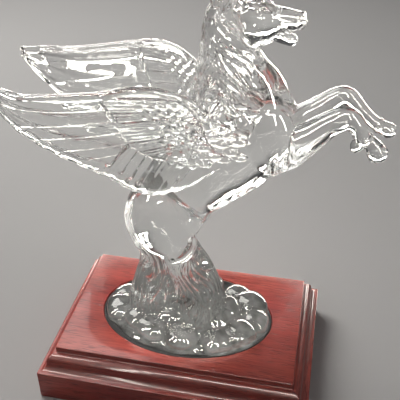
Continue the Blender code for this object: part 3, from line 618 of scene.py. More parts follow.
def loft(stations, sides=LIMB_SIDES, steps=LIMB_STEPS, relief=None):
    """A rounded limb through elliptical sections of x, y, z, half depth and half width, with a relief."""
    rows = smooth_stations(stations, steps)
    centres = [Vector(row[:3]) for row in rows]
    rings = []
    for i, row in enumerate(rows):
        along = (centres[min(i + 1, len(rows) - 1)] - centres[max(i - 1, 0)]).normalized()
        across = Vector((0, 1, 0)) - along * along.y
        across.normalize()
        deep = along.cross(across)
        rings.append((centres[i], along, deep * row[3], across * row[4]))
    shoulder = CAP_REACH * CAP_SHOULDER
    shaped = [section(*rings[0], -shoulder, CAP_SHOULDER_WIDTH, sides)]
    for i, ring in enumerate(rings):
        shaped.append(section(*ring, 0, 1, sides, relief, i / (len(rings) - 1)))
    shaped.append(section(*rings[-1], shoulder, CAP_SHOULDER_WIDTH, sides))
    start, end = rings[0], rings[-1]
    return closed_tube(
        shaped,
        start[0] - start[1] * CAP_REACH * start[2].length,
        end[0] + end[1] * CAP_REACH * end[2].length,
    )


def section(centre, along, deep, across, ahead, size, sides, relief=None, t=0.0):
    """One ring of a limb, moved ahead along it by a share of its depth."""
    middle = centre + along * ahead * deep.length
    points = []
    for side in range(sides):
        angle = 2 * math.pi * side / sides
        out = size * relief(angle, t) if relief else size
        points.append(middle + (deep * math.cos(angle) + across * math.sin(angle)) * out)
    return points


def in_middle(stations):
    """Sections in the middle plane, from rows of x, z, half depth and half width."""
    return [(x, 0, z, deep, wide) for x, z, deep, wide in stations]


def on_one_side(stations, side, shift=NO_SHIFT):
    """Sections beside the middle plane, from rows of x, distance from it, z, half depth and half width."""
    return [
        (x + shift[0], side * away, z + shift[1], deep, wide) for x, away, z, deep, wide in stations
    ]


def ellipsoid(centre, radii, turn=0.0, pitch=0.0, boxy=2.0, levels=BALL_LEVELS):
    """A rounded mass, turned about the vertical and then pitched about the crosswise axis, in degrees."""
    mesh = bmesh.new()
    ball = bmesh.ops.create_icosphere(mesh, subdivisions=levels, radius=1)
    for vertex in ball["verts"]:
        vertex.co /= sum(abs(value) ** boxy for value in vertex.co) ** (1 / boxy)
    place = (
        Matrix.Translation(centre)
        @ Matrix.Rotation(math.radians(turn), 4, "Z")
        @ Matrix.Rotation(math.radians(pitch), 4, "Y")
        @ Matrix.Diagonal((*radii, 1))
    )
    bmesh.ops.transform(mesh, matrix=place, verts=mesh.verts)
    return mesh


def small_ball(centre, radii, pitch):
    """A small rounded mass, of fewer faces."""
    return ellipsoid(centre, radii, pitch=pitch, levels=SMALL_BALL_LEVELS)


def lock_swell(t):
    """Thickness of a lock at a share of its length, as a share of its greatest. It ends in a point."""
    arch = math.sin(math.pi * (LOCK_SWELL[0] + LOCK_SWELL[1] * t))
    swell = LOCK_SLIMNESS + (1 - LOCK_SLIMNESS) * arch
    return swell * (1 - LOCK_POINT * smooth_step((t - 1 + LOCK_POINT_LENGTH) / LOCK_POINT_LENGTH))


def lock(points, thickness, flat=MANE_FLATNESS):
    """One tapering lock of hair along a curve, thickest near its middle, with grooves along it."""
    last = len(points) - 1
    stations = []
    for i, (x, y, z) in enumerate(points):
        swell = lock_swell(i / last)
        stations.append((x, y, z, thickness * swell, thickness * swell * flat))
    return loft(stations, LOCK_SIDES, LOCK_STEPS, lock_relief)


def groove(turn):
    """A rounded strand between two sharp grooves, from -0.5 in a groove to 0.5 on the strand."""
    return abs(math.sin(turn)) ** GROOVE_ROUNDNESS - 0.5


def wave(waves, t, swirl, parts, angle):
    """How strands sway to and fro as they wind down a column."""
    return math.sin(2 * math.pi * waves * t + swirl * math.sin(parts * angle))


def lock_relief(angle, t):
    """How far the skin of a lock stands out: grooves that turn slowly along it."""
    return 1 + LOCK_GROOVE * groove(LOCK_GROOVES * angle / 2 + LOCK_TWIST * t)


def hair_column(stations, broad, fine):
    """A column clad in wavy strands, with finer ones that run along them from a little below its top."""
    def relief(angle, t):
        flow = angle + FLOW_WAVE * wave(FLOW_WAVES, t, FLOW_SWIRL, 2, angle)
        stray = flow + STRAY_WAVE * wave(STRAY_WAVES, t, STRAY_SWIRL, 3, angle)
        first = FIRST_DEPTH + (1 - FIRST_DEPTH) * smooth_step(t / FULL_FROM)
        strands = BROAD_DEPTH * groove(broad * flow / 2) * first
        hairs = FINE_DEPTH * groove(fine * stray / 2) * smooth_step(t / FINE_FULL_FROM)
        return COLUMN_SIZE + strands + hairs

    return loft(stations, COLUMN_SIDES, COLUMN_STEPS, relief)


def bead(points, radius, taper=0.5):
    """A thin raised line along a curve, finer at both ends."""
    last = len(points) - 1
    stations = []
    for i, (x, y, z) in enumerate(points):
        swell = math.sin(math.pi * (BEAD_SWELL[0] + BEAD_SWELL[1] * i / last))
        size = radius * (taper + (1 - taper) * swell)
        stations.append((x, y, z, size, size))
    return loft(stations, BEAD_SIDES, BEAD_STEPS)


def mass(row, side=1):
    """A rounded mass from a row of its centre, radii and pitch."""
    x, away, z, deep, wide, tall, pitch = row
    return ellipsoid((x, side * away, z), (deep, wide, tall), pitch=pitch)


def horse_parts():
    """Trunk, neck, head and legs as overlapping masses."""
    parts = [loft(in_middle(table), BODY_SIDES) for table in (TRUNK, NECK, SKULL, LOWER_JAW)]
    parts += [loft(on_one_side(*leg), BODY_SIDES) for leg in LEGS]
    parts.append(mass(CHEEK))
    for side in (-1, 1):
        parts += [mass(row, side) for row in (SHOULDER, NOSTRIL, EYE_BALL, CHIN)]
        parts.append(loft(on_one_side(EAR, side), BODY_SIDES))
    return parts


def neck_at(z):
    """Centre x, half depth and half width of the neck at a height."""
    rows = smooth_stations(NECK, NECK_STEPS)
    best = min(rows, key=lambda row: abs(row[1] - z))
    return best[0], best[2], best[3]


def on_neck(share, z, side, lift):
    """A point just proud of the neck's side, share running from -1 at the crest to 1 at the throat."""
    centre, deep, wide = neck_at(z)
    away = wide * math.sqrt(max(0.0, 1 - share * share)) + lift
    return (centre + share * deep, side * away, z)


def mane_path(top, tip_share, tip_height, side, root=MANE_ROOT, lift=MANE_LIFT):
    """A path that runs down the crest and then sweeps forward over the side of the neck."""
    points = []
    for i in range(MANE_POINTS + 1):
        t = i / MANE_POINTS
        share = root + (tip_share - root) * smooth_step((t - MANE_HANG) / (1 - MANE_HANG))
        sway = MANE_SWAY * math.sin(math.pi * MANE_SWAY_WAVES * t + top)
        raised = lift * (1 - MANE_SETTLE * t)
        place = clamp(share + sway, -1.0)
        points.append(on_neck(place, top + (tip_height - top) * t, side, raised))
    return points


def crest_column():
    """Sections of the thick hair that stands along the back of the neck."""
    rows = []
    for z in CREST_LEVELS:
        centre, deep, wide = neck_at(z)
        half = CREST_DEEP * deep + CREST_MORE
        rows.append((centre - deep - CREST_BEYOND + half, z, half, wide * CREST_WIDE + CREST_MORE))
    return rows


def crest_lock(place):
    """A lock of the ridge that the mane forms behind the neck."""
    top = CREST_TOP - CREST_STEP * place
    sway = CREST_SWAY * math.sin(CREST_SWAY_WAVE * place)
    points = []
    for i in range(CREST_POINTS):
        t = i / (CREST_POINTS - 1)
        height = top - CREST_FALL * t
        centre, deep, _ = neck_at(height)
        aside = math.sin(math.pi * (CREST_SWAY_SPAN[0] + CREST_SWAY_SPAN[1] * t))
        points.append((centre - deep + CREST_SINK, sway * aside, height))
    return lock(points, CREST_THICKNESS)


def mane_parts():
    """The mane: ridge, forelock, hair behind the neck, and broad and leaf-like locks on both its sides."""
    parts = [crest_lock(place) for place in range(CREST_LOCKS)]
    for i in (-1, 0, 1):
        parts.append(lock([(x, i * FORELOCK_SPREAD, z) for x, z in FORELOCK], FORELOCK_THICKNESS))
    parts.append(hair_column(in_middle(crest_column()), *CREST_STRANDS))
    for side in (-1, 1):
        parts += [lock(mane_path(*row, side), BROAD_LOCK_THICKNESS) for row in MANE_LOCKS]
        for i, row in enumerate(smooth_stations(MANE_LOCKS, LEAVES_BETWEEN)):
            root = MANE_ROOT + LEAF_ROOT_SPREAD * (i * LEAF_ROOT_STEP % 1)
            lift = LEAF_LIFT * (1 + LEAF_VARIATION * math.sin(LEAF_VARIATION_WAVE * i))
            parts.append(lock(mane_path(*row, side, root, lift), LEAF_THICKNESS, LEAF_FLATNESS))
    return parts


def tail_parts():
    """The tail, the long hair of the hind legs and the sleeves round them, each clad in wavy strands."""
    columns = (TAIL_HAIR, FETLOCK_COLUMN, WEB_BETWEEN)
    parts = [hair_column(in_middle(column), *counts) for column, counts in zip(columns, COLUMN_STRANDS)]
    for side, shift in ((-1, NO_SHIFT), (1, FAR_HIND_LEG_SHIFT)):
        parts.append(hair_column(on_one_side(SLEEVE, side, shift), *SLEEVE_STRANDS))
    return parts


def along_table(rows, x, column):
    """A value of the table at x, between rows that run towards smaller or larger x."""
    ordered = sorted(rows)
    for low, high in zip(ordered, ordered[1:]):
        if x <= high[0]:
            share = clamp((x - low[0]) / (high[0] - low[0]))
            return low[column] + (high[column] - low[column]) * share
    return ordered[-1][column]


def wing_spread(x, z):
    """Distance of the wing's middle surface from the middle plane, at a point of the side view."""
    low = along_table(LOWER_SPREAD, x, 1)
    high = along_table(LEADING_EDGE, x, 1)
    top = along_table(LEADING_EDGE, x, 2)
    share = clamp((z - LOWER_LEVEL) / max(LEAST_HEIGHT, top - LOWER_LEVEL))
    return low + (high - low) * share


def half_thickness(thick, t, v):
    """Half the thickness of a feather, t from root to tip and v across it."""
    arch = math.sin(math.pi * clamp(v))
    return thick * (TIP_SHARE + ROOT_MORE * (1 - t)) * (RIM_SHARE + MIDDLE_MORE * arch)


def feather(first, second, side, thick, outwards, tilt, bulge):
    """A blade between two ridges of a wing, with a rounded end. Its second edge stands proud by the tilt."""
    rings = []
    for i in range(FEATHER_ROWS + 1):
        t = i / FEATHER_ROWS
        upper, lower = [], []
        for j in range(FEATHER_COLUMNS + 1):
            v = (1 + 2 * FEATHER_OVERLAP) * j / FEATHER_COLUMNS - FEATHER_OVERLAP
            x, z = ridge_point(first, second, v, t, rounded_end(bulge, j / FEATHER_COLUMNS, t))
            spread = wing_spread(x, z) + outwards + tilt * (v - 0.5)
            height = half_thickness(thick, t, j / FEATHER_COLUMNS)
            within = max(spread - height, wing_spread(x, z) + SKIN_OFFSET - SKIN_COVER)
            upper.append(Vector((x, side * (spread + height), z)))
            lower.append(Vector((x, side * within, z)))
        rings.append(upper + lower[::-1])
    return closed_tube(rings, ring_middle(rings[0]), ring_middle(rings[-1]))


def rounded_end(bulge, share, t):
    """How far a feather reaches past its straight end, at a share of its width."""
    return bulge * (1 - (2 * share - 1) ** 2) * smooth_step((t - 1 + FEATHER_END) / FEATHER_END)


def ridge_point(first, second, v, t, ahead):
    """A point between two ridges: v runs across from the first, t from root to tip, ahead past the end."""
    tip_x, tip_z, root_x, root_z, sag = (a + (b - a) * v for a, b in zip(first, second))
    length = math.hypot(tip_x - root_x, tip_z - root_z)
    reach = t + ahead / length
    drop = sag * math.sin(math.pi * min(1.0, t))
    return root_x + (tip_x - root_x) * reach, root_z + (tip_z - root_z) * reach - drop


def on_feather(first, second, v, t, side, thick, outwards, ahead=0.0):
    """A point of a feather's outer face."""
    x, z = ridge_point(first, second, v, t, ahead)
    return (x, side * (wing_spread(x, z) + outwards + half_thickness(thick, t, v)), z)


def feather_rim(first, second, side, thick, outwards, bulge, radius):
    """The raised line along a feather's first edge and round its tip."""
    points = []
    for i in range(RIM_STEPS + 1):
        t = RIM_START + (1 - RIM_START) * i / RIM_STEPS
        points.append(on_feather(first, second, 0, t, side, thick, outwards))
    for j in range(1, RIM_TIP_STEPS + 1):
        v = j / RIM_TIP_STEPS
        ahead = rounded_end(bulge, v, 1) - RIM_INSET
        points.append(on_feather(first, second, v, 1, side, thick, outwards, ahead))
    return bead(points, radius)


def inner_skin(side):
    """The smooth inner face of a wing, from the leading edge down to the feather tips, with broad flutes."""
    tips = [row[:2] for row in PRIMARY_RIDGES + SECONDARY_RIDGES]
    rings = []
    for i in range(SKIN_STATIONS + 1):
        x = SKIN_ROOT + (SKIN_END - SKIN_ROOT) * i / SKIN_STATIONS
        top = along_table(LEADING_EDGE, x, 2) - SKIN_INSET
        bottom = along_table(tips, x, 1) + SKIN_TIP_INSET
        outer, inner = [], []
        for j in range(SKIN_ROWS + 1):
            z = top + (bottom - top) * j / SKIN_ROWS
            spread = wing_spread(x, z) + SKIN_OFFSET
            flute = SKIN_FLUTE_DEPTH * math.cos(2 * math.pi * SKIN_FLUTES * j / SKIN_ROWS)
            outer.append(Vector((x, side * (spread + SKIN_THICKNESS), z)))
            inner.append(Vector((x, side * (spread - SKIN_THICKNESS - flute), z)))
        rings.append(outer + inner[::-1])
    return closed_tube(rings, ring_middle(rings[0]), ring_middle(rings[-1]))


def inner_rim(side):
    """The smooth rim round the inner face of a wing, from its tip along the ends of the feathers."""
    points = []
    for x, z, *_ in PRIMARY_RIDGES + SECONDARY_RIDGES[1:]:
        points.append((x, side * (wing_spread(x, z) + SKIN_OFFSET), z + INNER_RIM_INSET))
    return bead(points, INNER_RIM_RADIUS, BLUNT)


def inner_fold(side):
    """The line on the inner face of a wing where its root feathers end."""
    points = []
    for x, z in INNER_FOLD:
        points.append((x, side * (wing_spread(x, z) + SKIN_OFFSET - SKIN_THICKNESS), z))
    return bead(points, INNER_FOLD_RADIUS)


def ring_middle(ring):
    """The middle of a feather's end."""
    return sum(ring, Vector()) / len(ring)


def wing_parts(side):
    """One wing: its layers of feathers, inner face, fold, knobs, rolled leading edge and root."""
    parts = []
    for ridges, thick, outwards, tilt, bulge, rim in WING_LAYERS:
        for first, second in zip(ridges, ridges[1:]):
            parts.append(feather(first, second, side, thick, outwards, tilt, bulge))
            parts.append(feather_rim(first, second, side, thick, outwards, bulge, rim))
            if ridges is COVERT_RIDGES:
                parts += covert_detail(first, second, side)
    parts += [inner_skin(side), inner_rim(side), inner_fold(side)]
    parts.append(bead(ridge_line(SECONDARY_RIDGES[0], side), FOLD_RADIUS, BLUNT))
    for tip_x, tip_z, *_ in SECONDARY_RIDGES[:KNOB_COUNT]:
        out = side * (wing_spread(tip_x, tip_z) + KNOB_OUT)
        knob = (tip_x + KNOB_AHEAD, out, tip_z + KNOB_RADII[0])
        parts.append(ellipsoid(knob, KNOB_RADII, pitch=KNOB_PITCH))
    last = len(LEADING_EDGE) - 1
    edge = []
    for i, (x, y, z) in enumerate(LEADING_EDGE):
        thinned = smooth_step((i - EDGE_THINS_FROM) / (last - EDGE_THINS_FROM))
        thick = EDGE_ROLL * (1 - EDGE_THINNING * thinned)
        edge.append((x, side * y, z - EDGE_SUNK * thick, thick, thick))
    parts.append(loft(edge, EDGE_SIDES, EDGE_STEPS))
    parts.append(mass(WING_ROOT, side))
    return parts


def ridge_line(ridge, side):
    """Points along one ridge of a wing's outer face."""
    steps = [i / RIM_STEPS for i in range(RIM_STEPS + 1)]
    return [on_feather(ridge, ridge, 0, t, side, PLATE_THICKNESS, SECONDARY_OFFSET) for t in steps]


def covert_detail(first, second, side):
    """Fine lines along a covert, and a chain of small overlapping scales towards its root."""
    parts = []
    face = (side, COVERT_THICKNESS, COVERT_OFFSET)
    for v in COVERT_LINES:
        line = []
        for i in range(RIM_STEPS + 1):
            t = COVERT_LINE_START + (1 - COVERT_LINE_START) * i / RIM_STEPS
            line.append(on_feather(first, second, v, t, *face))
        parts.append(bead(line, COVERT_LINE_RADIUS))
    for i in range(COVERT_SCALES):
        t = COVERT_SCALE_END * (i + 0.5) / COVERT_SCALES
        v = 0.5 + COVERT_SCALE_STAGGER * (-1) ** i
        centre = on_feather(first, second, v, t, *face)
        parts.append(small_ball(centre, COVERT_SCALE_RADII, COVERT_SCALE_PITCH))
    return parts


def outside_of(parts):
    """A tree of all the bodies so far, on which finer ones are laid."""
    points, faces = [], []
    for part in parts:
        first = len(points)
        part.verts.index_update()
        points += [vertex.co.copy() for vertex in part.verts]
        faces += [[first + vertex.index for vertex in face.verts] for face in part.faces]
    return BVHTree.FromPolygons(points, faces)


def on_side(tree, x, z, side, proud=0.0):
    """The outermost point of one side at a place of the side view, a little proud of it."""
    place, *_ = tree.ray_cast(Vector((x, side * SIDE_REACH, z)), Vector((0, -side, 0)))
    if place is None:
        place, *_ = tree.find_nearest(Vector((x, side * BESIDE, z)))
    return (place.x, place.y + side * proud, place.z)


def shoulder_scales(tree, side):
    """Small almond-shaped feathers over the shoulder, in staggered rows."""
    parts = []
    for z, first_x, count in SHOULDER_ROWS:
        for i in range(count):
            x = first_x + SHOULDER_STEP[0] * i
            height = z + SHOULDER_STEP[1] * i
            size = 1 - SHOULDER_SHRINK * i
            radii = tuple(value * size for value in SHOULDER_SCALE)
            place = on_side(tree, x, height, side, SHOULDER_PROUD)
            parts.append(small_ball(place, radii, SHOULDER_PITCH))
            brow = [(x + a * radii[0], height + b * radii[2]) for a, b in SHOULDER_BROW]
            line = [on_side(tree, *point, side, SHOULDER_PROUD) for point in brow]
            parts.append(bead(line, SHOULDER_BROW_RADIUS))
    return parts


def face_parts(tree):
    """The lids, the lines of the cheeks and the rims of the nostrils and lips."""
    parts = []
    for side in (-1, 1):
        for line, radius, proud in FACE_LINES:
            points = [on_side(tree, x, z, side, proud) for x, z in line]
            parts.append(bead(points, radius, FACE_TAPER))
    return parts


def hock_parts(tree):
    """The smooth curved folds in front of the hocks."""
    parts = []
    for side in (-1, 1):
        stations = []
        for x, z, radius in HOCK_FOLD:
            stations.append((*on_side(tree, x, z, side, HOCK_PROUD), radius, radius))
        parts.append(loft(stations))
    return parts


def hoof_parts():
    """The raised coronets where the pasterns meet the hooves."""
    parts = []
    for leg, side in HOOVES:
        x, away, z, deep, wide = leg[0]
        ahead = Vector((leg[1][0] - x, 0, leg[1][2] - z)).normalized()
        down = Vector((-ahead.z, 0, ahead.x))
        centre = Vector((x, side * away, z)) + ahead * CORONET_AHEAD
        points = []
        for i in range(CORONET_POINTS + 1):
            turn = 2 * math.pi * i / CORONET_POINTS
            reach = down * math.cos(turn) * deep + Vector((0, 1, 0)) * math.sin(turn) * wide
            points.append(centre + reach * CORONET_SIZE)
        rings = [(*point, CORONET_RADIUS, CORONET_RADIUS) for point in points]
        parts.append(loft(rings, BEAD_SIDES, BEAD_STEPS))
    return parts


def towards(angle, direction):
    """1 in a direction, given in degrees, falling to 0 at a right angle to it and staying 0 behind."""
    return max(0.0, math.cos(angle - math.radians(direction)))


def cloud_parts():
    """The cloud base: a low slab under two rings of rounded puffs."""
    parts = [ellipsoid((0, 0, BASE_SLAB_TOP - PUFF_HEIGHT), CLOUD_SLAB)]
    parts.append(ellipsoid((0, 0, CLOUD_CROWN_LEVEL), CLOUD_CROWN))
    for count, first, long_side, short_side, along, across, top in CLOUD_RINGS:
        for i in range(count):
            spacing = PUFF_SPACING_VARIATION * math.sin(PUFF_SPACING_WAVE * i)
            angle = math.radians(first + 360 * i / count + spacing)
            turn = math.atan2(short_side * math.cos(angle), -long_side * math.sin(angle))
            size = 1 + PUFF_VARIATION * math.sin(PUFF_SIZE_WAVE[0] * i + PUFF_SIZE_WAVE[1])
            dip = PUFF_DIP * towards(angle, PUFF_DIP_DIRECTION) ** PUFF_DIP_FALL
            level = top - PUFF_HEIGHT - dip + PUFF_UNEVENNESS * math.sin(PUFF_LEVEL_WAVE * i)
            tuck = 1 - PUFF_TUCK * towards(angle, PUFF_TUCK_DIRECTION) ** PUFF_TUCK_FALL
            place = (long_side * math.cos(angle) * tuck, short_side * math.sin(angle) * tuck, level)
            radii = (along * size, across * size, PUFF_HEIGHT)
            parts.append(ellipsoid(place, radii, math.degrees(turn), boxy=PUFF_BOXINESS))
    for part in parts:
        keep_inside_recess(part)
    return parts


def keep_inside_recess(shape):
    """Narrows the back a little and pulls in what would reach past the oval that the cloud base fills."""
    for vertex in shape.verts:
        if vertex.co.y > 0:
            vertex.co.y *= BACK_NARROWING
        reach = math.hypot(vertex.co.x / FOOT_HALF_LENGTH, vertex.co.y / FOOT_HALF_WIDTH)
        if reach > 1:
            vertex.co.x /= reach
            vertex.co.y /= reach


def deselect_all():
    """Leaves nothing selected and no object active."""
    for other in bpy.context.selected_objects:
        other.select_set(False)
    bpy.context.view_layer.objects.active = None


def take_up(piece):
    """Makes one object the selected and active one."""
    deselect_all()
    piece.select_set(True)
    bpy.context.view_layer.objects.active = piece


def modify(piece, kind, **settings):
    """Adds a modifier with these settings and applies it."""
    take_up(piece)
    modifier = piece.modifiers.new(kind.title(), kind)
    for key, value in settings.items():
        setattr(modifier, key, value)
    bpy.ops.object.modifier_apply(modifier=modifier.name)


def round_edges(piece, radius):
    """Rounds the sharp edges of a piece, by a radius in millimetres."""
    limit = math.radians(BEVEL_FROM)
    modify(piece, "BEVEL", width=radius * MM, segments=BEVEL_STEPS, limit_method="ANGLE", angle_limit=limit)


def smooth_shading(piece, crease):
    """Shades a piece smooth, but for edges sharper than the crease, in degrees."""
    take_up(piece)
    bpy.ops.object.shade_smooth_by_angle(angle=math.radians(crease))


def rough_casting(name, parts):
    """All the overlapping bodies as one object, in metres, standing on the plinth."""
    mesh = bpy.data.meshes.new(name)
    whole = bmesh.new()
    for part in parts:
        scratch = bpy.data.meshes.new("scratch")
        part.to_mesh(scratch)
        part.free()
        whole.from_mesh(scratch)
        bpy.data.meshes.remove(scratch)
    place = Matrix.Scale(MM, 4) @ Matrix.Translation((0, 0, PLINTH_HEIGHT))
    bmesh.ops.transform(whole, matrix=place, verts=whole.verts)
    whole.to_mesh(mesh)
    whole.free()
    piece = bpy.data.objects.new(name, mesh)
    bpy.context.scene.collection.objects.link(piece)
    return piece


def cut_foot(piece, level):
    """Cuts the casting flat at a level and closes the cut."""
    take_up(piece)
    bpy.ops.object.mode_set(mode="EDIT")
    bpy.ops.mesh.select_all(action="SELECT")
    bpy.ops.mesh.bisect(
        plane_co=(0, 0, level), plane_no=(0, 0, 1), use_fill=True, clear_inner=True, threshold=1e-7
    )
    bpy.ops.mesh.select_all(action="SELECT")
    bpy.ops.mesh.quads_convert_to_tris()
    bpy.ops.object.mode_set(mode="OBJECT")


def keep_outer_skin(piece):
    """Leaves only the largest connected skin, without the small voids that the casting may hold."""
    whole = bmesh.new()
    whole.from_mesh(piece.data)
    waiting = set(whole.verts)
    skins = []
    while waiting:
        skin = {waiting.pop()}
        edge = list(skin)
        while edge:
            vertex = edge.pop()
            for link in vertex.link_edges:
                other = link.other_vert(vertex)
                if other not in skin:
                    skin.add(other)
                    edge.append(other)
        waiting -= skin
        skins.append(skin)
    skins.sort(key=len)
    for skin in skins[:-1]:
        bmesh.ops.delete(whole, geom=list(skin), context="VERTS")
    whole.to_mesh(piece.data)
    whole.free()


def press_in(piece, hollows):
    """Presses shallow hollows into both sides of the casting, each from its centre, radii and depth."""
    for x, away, z, deep, wide, tall, sink in hollows:
        for side in (-1, 1):
            centre = Vector((x, side * away, PLINTH_HEIGHT + z)) * MM
            radii = Vector((deep, wide, tall)) * MM
            for vertex in piece.data.vertices:
                reach = vertex.co - centre
                if abs(reach.x) > radii.x or abs(reach.y) > radii.y or abs(reach.z) > radii.z:
                    continue
                distance = Vector((reach.x / radii.x, reach.y / radii.y, reach.z / radii.z)).length
                vertex.co.y -= side * sink * MM * smooth_step(1 - distance)


def keep_in_box(piece, low, high):
    """Holds every point inside a box."""
    for vertex in piece.data.vertices:
        for axis in range(3):
            vertex.co[axis] = clamp(vertex.co[axis], low[axis], high[axis])


def node_group(name, inputs, outputs):
    """An empty shader node group with named sockets."""
    group = bpy.data.node_groups.new(name, "ShaderNodeTree")
    for label, kind, default in inputs:
        socket = group.interface.new_socket(name=label, in_out="INPUT", socket_type=kind)
        socket.default_value = default
    for label, kind in outputs:
        group.interface.new_socket(name=label, in_out="OUTPUT", socket_type=kind)
    return group


def soft_mottle():
    """Slow uneven patches, from 0 to 1, stretched along chosen axes, from which every finish varies."""
    group = bpy.data.node_groups.get("soft_mottle")
    if group:
        return group
    group = node_group(
        "soft_mottle",
        [
            ("Scale", "NodeSocketFloat", 100.0),
            ("Stretch", "NodeSocketVector", (1.0, 1.0, 1.0)),
            ("Detail", "NodeSocketFloat", 3.0),
            ("Low", "NodeSocketFloat", 0.35),
            ("High", "NodeSocketFloat", 0.65),
        ],
        [("Mask", "NodeSocketFloat")],
    )
    nodes, links = group.nodes, group.links
    given, made = nodes.new("NodeGroupInput"), nodes.new("NodeGroupOutput")
    place = nodes.new("ShaderNodeTexCoord")
    stretch = nodes.new("ShaderNodeVectorMath")
    stretch.operation = "MULTIPLY"
    noise = nodes.new("ShaderNodeTexNoise")
    spread = nodes.new("ShaderNodeMapRange")
    for source, output, target, entry in (
        (place, "Object", stretch, 0),
        (given, "Stretch", stretch, 1),
        (stretch, "Vector", noise, "Vector"),
        (given, "Scale", noise, "Scale"),
        (given, "Detail", noise, "Detail"),
        (noise, "Fac", spread, "Value"),
        (given, "Low", spread, "From Min"),
        (given, "High", spread, "From Max"),
        (spread, "Result", made, "Mask"),
    ):
        links.new(source.outputs[output], target.inputs[entry])
    return group


def plain_material(name):
    """A material with one Principled shader, and its node tree."""
    made = bpy.data.materials.new(name)
    made.use_nodes = True
    return made, made.node_tree


def set_shader(tree, inputs):
    """Links each socket to the shader's input of that name, and sets each number on it."""
    shader = tree.nodes["Principled BSDF"]
    for name, value in inputs.items():
        if isinstance(value, bpy.types.NodeSocket):
            tree.links.new(value, shader.inputs[name])
        else:
            shader.inputs[name].default_value = value


def mottle_in(tree, patches, stretch=EVENLY):
    """Puts the mottle group into a material with its own values, and returns its mask."""
    scale, detail, low, high = patches
    node = tree.nodes.new("ShaderNodeGroup")
    node.node_tree = soft_mottle()
    given = {"Scale": scale, "Stretch": stretch, "Detail": detail, "Low": low, "High": high}
    for name, value in given.items():
        node.inputs[name].default_value = value
    return node.outputs["Mask"]


def blend_of(tree, mask, first, second):
    """A colour between two, which may be colours or sockets, by a mask or a number."""
    node = tree.nodes.new("ShaderNodeMix")
    node.data_type = "RGBA"
    for name, value in (("Factor", mask), ("A", first), ("B", second)):
        socket = node.inputs[name]
        if isinstance(value, bpy.types.NodeSocket):
            tree.links.new(value, socket)
        elif isinstance(value, float):
            socket.default_value = value
        else:
            socket.default_value = (*value[:3], 1)
    return node.outputs["Result"]


def between(tree, mask, low, high):
    """A number between low and high by a mask."""
    node = tree.nodes.new("ShaderNodeMapRange")
    node.inputs["To Min"].default_value = low
    node.inputs["To Max"].default_value = high
    tree.links.new(mask, node.inputs["Value"])
    return node.outputs["Result"]


def bump(tree, height, distance, strength, before=None):
    """A bump from a height."""
    node = tree.nodes.new("ShaderNodeBump")
    node.inputs["Distance"].default_value = distance
    node.inputs["Strength"].default_value = strength
    tree.links.new(height, node.inputs["Height"])
    if before is not None:
        tree.links.new(before, node.inputs["Normal"])
    return node.outputs["Normal"]


def crystal_material(settings):
    """Clear cast crystal: a faint cool tint, soft ripples from the mould and a barely uneven polish."""
    made, tree = plain_material("clear_crystal")
    patches = mottle_in(tree, CRYSTAL_TONES)
    deeper = tuple(value * DEEPER_TINT for value in settings.tint)
    set_shader(tree, {
        "Base Color": blend_of(tree, patches, tuple(settings.tint), deeper),
        "Roughness": between(tree, mottle_in(tree, CRYSTAL_POLISH), *CRYSTAL_ROUGHNESS),
        "Normal": bump(tree, mottle_in(tree, CRYSTAL_RIPPLES), *RIPPLE_BUMP),
        "Metallic": 0.0,
        "Transmission Weight": 1.0,
        "IOR": settings.refraction,
    })
    return made


def painted_shade_ground_material(settings):
    """The ground foot of the casting, matt and patchy, and near-black with painted shade that stands for the
    black felt seen through the glass.
    """
    made, tree = plain_material("ground_crystal_painted_shade")
    patches = mottle_in(tree, GROUND_PATCHES)
    # Painted shade: both tones are made near-black, standing for the black felt seen through the glass
    light = tuple(value * PAINTED_SHADE_GROUND_LIGHT for value in settings.tint)
    dark = tuple(value * PAINTED_SHADE_GROUND_DARK for value in settings.tint)
    set_shader(tree, {
        "Base Color": blend_of(tree, patches, light, dark),
        "Roughness": between(tree, patches, *GROUND_ROUGHNESS),
        "Normal": bump(tree, patches, *GROUND_BUMP),
        "Metallic": 0.0,
        "Transmission Weight": 0.05,
        "Specular IOR Level": 0.05,
        "IOR": settings.refraction,
    })
    return made


def mahogany_material(name, settings, along):
    """Lacquered mahogany with fine dark pores and slow bands of tone along one axis."""
    made, tree = plain_material(name)
    stretch = [1.0, 1.0, 1.0]
    stretch[along] = GRAIN_STRETCH
    bands = mottle_in(tree, WOOD_BANDS, stretch)
    fine = mottle_in(tree, WOOD_FIBRES, stretch)
    pores = mottle_in(tree, WOOD_PORES, stretch)
    clouds = mottle_in(tree, WOOD_CLOUDS, CLOUD_STRETCH)
    colour = blend_of(tree, bands, settings.red, settings.deep)
    colour = blend_of(tree, clouds, colour, blend_of(tree, WARM_SHARE, colour, settings.warm))
    colour = blend_of(tree, between(tree, fine, *FIBRE_SHARE), colour, settings.deep)
    grain = bump(tree, pores, *PORE_BUMP)
    set_shader(tree, {
        "Base Color": blend_of(tree, between(tree, pores, *PORE_SHARE), colour, settings.pore),
        "Roughness": between(tree, fine, *WOOD_ROUGHNESS),
        "Normal": bump(tree, bands, *BAND_BUMP, grain),
        "Specular IOR Level": 0.12,
        "Coat Weight": 0.32,
        "Coat Roughness": 0.13,
    })
    return made


def felt_material(settings):
    """Black felt: tangled matt fibres with a faint sheen."""
    made, tree = plain_material("black_felt")
    fibres = mottle_in(tree, FELT_FIBRES)
    patches = mottle_in(tree, FELT_PATCHES)
    colour = blend_of(tree, fibres, settings.black, settings.lint)
    set_shader(tree, {
        "Base Color": blend_of(tree, between(tree, patches, *FELT_SHARE), colour, settings.black),
        "Roughness": between(tree, fibres, *FELT_ROUGHNESS),
        "Normal": bump(tree, fibres, *FELT_BUMP),
        "Sheen Weight": 0.35,
        "Sheen Roughness": 0.6,
        "Specular IOR Level": 0.2,
    })
    return made


